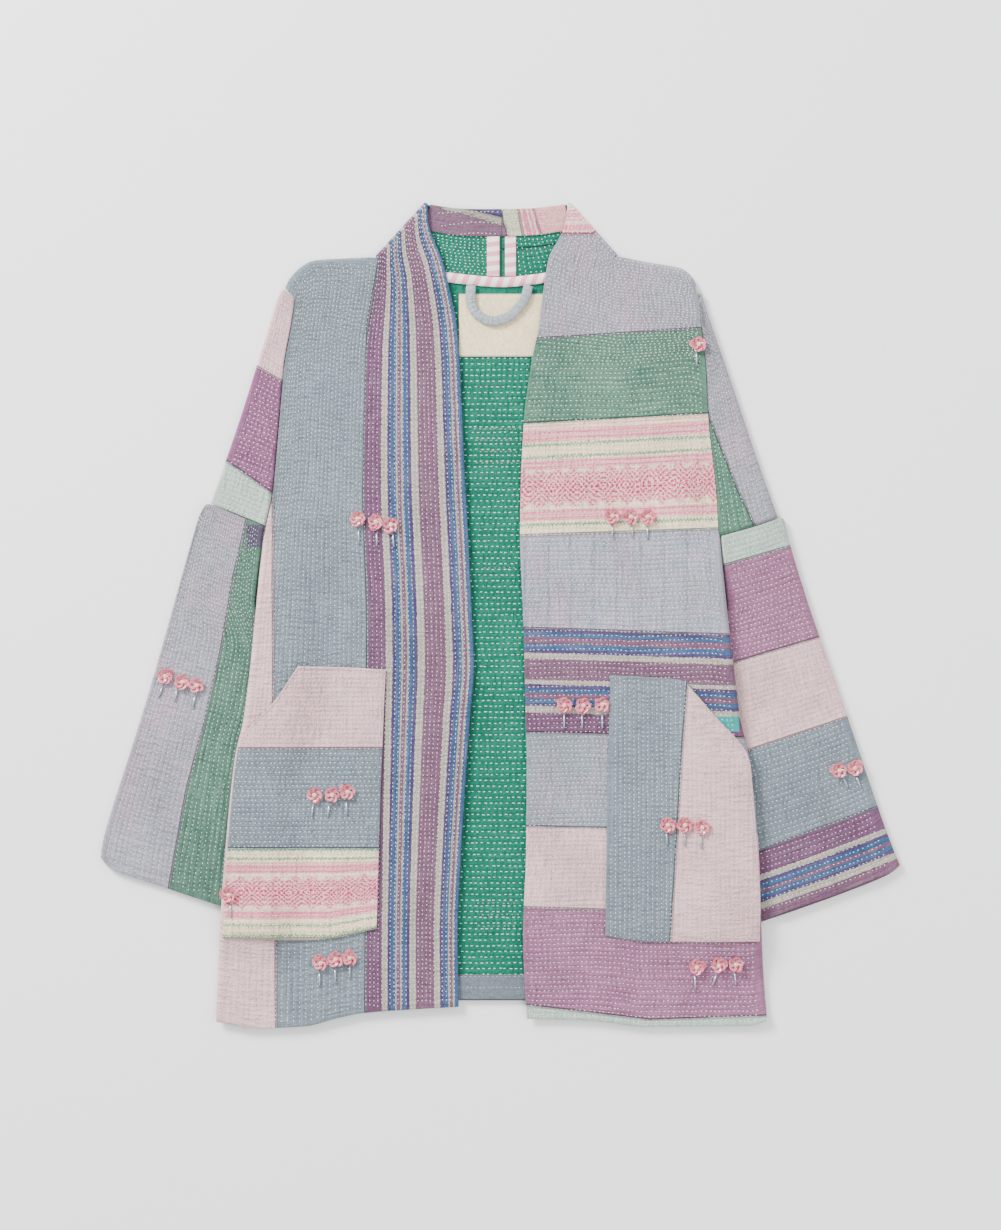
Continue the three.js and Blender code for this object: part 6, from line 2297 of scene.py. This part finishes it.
@dataclass
class Jacket:
    """All the cloth pieces of the jacket, built in order and each parented to the root empty."""

    upright: Quilting = Quilting(pitch=4.6, stitch=1.6, gap=2.9, thickness=0.9)
    level: Quilting = Quilting(pitch=4.6, stitch=1.7, gap=2.9, thickness=0.9)
    inside: Quilting = Quilting(pitch=5.7, stitch=3.0, gap=2.5, thickness=0.85)

    def dress(self, obj: Object, material: Material, slot: str, *nodes: str) -> Object:
        """Args:
            obj: The piece.
            material: What it is made of.
            slot: Not used.
            nodes: The CAD nodes that it stands for.

        Returns:
            The piece.
        """
        obj.data.materials.append(material)
        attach(obj, "root")
        if nodes:
            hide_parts(*nodes)
        LOG.info("%s: %d faces", obj.name, len(obj.data.polygons))
        return obj

    def panel(self, node: str, maker: Front | Back | Sleeve | Pocket, held: str = "laid") -> ClothWall:
        """Builds one quilted panel with its stitches.

        Args:
            node: The CAD node that it stands for.
            maker: The panel.
            held: Not used.

        Returns:
            The panel's wall.
        """
        wall, (flat, area) = maker.wall(), CUTS[node]
        cloth = wall.build(f"cloth_{node}")
        lining, slot, rests = GREEN, "patch_cloth", ["cloth_back"]
        if node == "back":
            lining, slot, rests = BLUE_GREY, "inside_cloth", []
        self.dress(cloth, cotton(node, lining, spots=SPOTS.get(node, ())), slot, node)
        stitches, lines = Stitches(maker.quilting, maker.seed + 70), maker.stitch_lines(wall)
        threads = stitches.build(f"stitches_{node}", wall, lines)
        self.dress(threads, PatchThread(f"thread_{node}", COTTONS[node]).build(), slot)
        sewn = [threads, *self.topstitches(node, wall, slot)]
        return wall

    def topstitches(self, node: str, wall: ClothWall, slot: str) -> list[Object]:
        """Sews the single lines of stitching on a piece.

        Args:
            node: The CAD node that the piece stands for.
            wall: The piece's wall.
            slot: The record's material slot.

        Returns:
            The lines, as one object for each thread.
        """
        sewn = []
        for n, line in enumerate(TOPSTITCHES.get(node, ())):
            stitches = Stitches(line.quilting(), 300 + n, proud=line.thickness / 3)
            threads = stitches.build(f"{line.name}_stitches_{node}", wall, line.on(wall))
            sewn.append(self.dress(threads, Thread(f"{line.name}_thread_{node}", line.dye).build(), slot))
        return sewn

    def strip(self, node: str, strip: Strip, slot: str, material: Material) -> ClothWall:
        """Builds one strip that lies on the cloth.

        Args:
            node: The CAD node that it stands for.
            strip: Its lines and sizes.
            slot: The record's material slot.
            material: What it is made of.

        Returns:
            The strip's wall.
        """
        wall = strip.wall()
        if node in SEAMS:
            wall.patches = SEAMS[node].marks(wall.middle[..., 0], wall.middle[..., 1])
        cloth = wall.build(f"cloth_{node}")
        self.dress(cloth, material, slot, node)
        sewn = self.topstitches(node, wall, slot)
        return wall

    def collar_strips(self, side: Side) -> dict[str, ClothWall]:
        """Builds one side's collar facing and seam binding.

        Args:
            side: The side of the jacket.

        Returns:
            Their walls by node.
        """
        shape, sign, walls = OUTLINES[side], side.sign, {}
        depth, tape = FACING_DEPTH, TAPE_WIDTH
        middle_x, middle_y = shape.collar_top[0]
        near_x, near_y = shape.fold_tip[0] - sign * 5.5, shape.fold_tip[1] - 2.4
        far_x, far_y = CENTRE + sign * LIE_GAP / 2, shape.collar_top[-1][1]
        top = through([(near_x, near_y), (middle_x, middle_y), (far_x, far_y)])
        foot_x, foot_y = near_x + sign * 10, near_y - depth + 2
        low = through([(foot_x, foot_y), (middle_x, middle_y - depth), (far_x, far_y - depth)])
        node = f"collar_facing_{side.value}"
        facing = Strip(low, top, length=70, width=depth, thickness=TRIM)
        walls[node] = self.strip(node, facing, "patch_cloth", cotton(node))
        inner, outer = (CENTRE + x for x in BINDING_EDGES[side])
        high, foot = far_y - depth - LIE_GAP, shape.neck_seam[-1][1] + tape / 2 + BINDING_CLEARANCE
        lines = [straight(np.array([x, foot], float), np.array([x, high], float)) for x in (outer, inner)]
        node = f"seam_binding_{side.value}"
        binding = Strip(*lines, length=high - foot, width=abs(inner - outer), thickness=TRIM)
        stripes = Tape(f"tape_{node}", pitch=9.6, slant=0.12 * sign).build()
        walls[node] = self.strip(node, binding, "binding", stripes)
        return walls

    def trims(self) -> dict[str, ClothWall]:
        """Builds the facings, bindings, label and loop at the neck, and the back's hem.

        Returns:
            Their walls by node.
        """
        walls = {**self.collar_strips(Side.LEFT), **self.collar_strips(Side.RIGHT)}
        line = through([(-62, 340), (-50, 337), (CENTRE, 332.5), (50, 337.5), (58, 340)])
        lower, upper = (lambda t: line(t) - [0, TAPE_WIDTH / 2]), (lambda t: line(t) + [0, TAPE_WIDTH / 2])
        binding = Strip(lower, upper, length=122, width=TAPE_WIDTH, thickness=TRIM, crown=1.5)
        stripes = Tape("tape_neck_binding", pitch=11.6, slant=-0.45).build()
        walls["neck_binding"] = self.strip("neck_binding", binding, "binding", stripes)
        for node, (left, right, low, high, thickness, slot, look) in LEVEL_STRIPS.items():
            lines = [straight(np.array([left, y]), np.array([right, y])) for y in (low, high)]
            strip = Strip(*lines, right - left, high - low, thickness)
            walls[node] = self.strip(node, strip, slot, cotton(node, **look))
        loop = HangerLoop().build("cloth_hanger_loop")
        self.dress(loop, cotton("hanger_loop"), "loop", "hanger_loop")
        return walls

    def flowers(self, walls: dict[str, ClothWall]) -> None:
        """Sews the rows of sequin flowers on."""
        model = SequinFlower()
        kit = {"petal": model.petal(), "pearl": model.pearl(), "stem": model.stem()}
        sequin = SequinPlastic().build()
        pearl = BeadGloss("cream_pearl", "F2DFC2", 0.0, 0.22).build()
        glass = BeadGloss("silver_lined_glass", "B2BDCB", 0.6, 0.2).build()
        for number, row in enumerate(FLOWER_ROWS):
            heads, stems = row.build(kit, walls, 500 + number)
            self.dress(heads, sequin, "sequins")
            heads.data.materials.append(pearl)
            self.dress(stems, glass, "bugle_beads")

    def build(self) -> dict[str, ClothWall]:
        """Builds every panel.

        Returns:
            The walls by node, for what is sewn on them.
        """
        cotton_group()
        walls = {"back": self.panel("back", Back(self.inside, 11))}
        for side in Side:
            up = side is Side.LEFT
            kind, other = (self.upright, self.level) if up else (self.level, self.upright)
            lower, upper, front, pocket = (
                f"{piece}_{side.value}" for piece in ("sleeve_lower", "sleeve_upper", "front", "pocket")
            )
            makers = {
                lower: Sleeve(side, True, up, SEAMS[lower], kind, 21 + up, length=350, width=134),
                upper: Sleeve(side, False, not up, SEAMS[upper], other, 25 + up, length=228, width=48),
                front: Front(side, up, SEAMS[front], kind, 31 + up),
                pocket: Pocket(side, not up, SEAMS[pocket], other, 41 + up),
            }
            for node, maker in makers.items():
                walls[node] = self.panel(node, maker, "laid" if node == pocket else "folded")
        walls.update(self.trims())
        self.flowers(walls)
        return walls


def main() -> None:
    """Builds the studio and the jacket."""
    logging.basicConfig(level=logging.INFO, format="%(message)s")
    Studio().build()
    Jacket().build()
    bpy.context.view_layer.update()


if __name__ == "__main__":
    main()
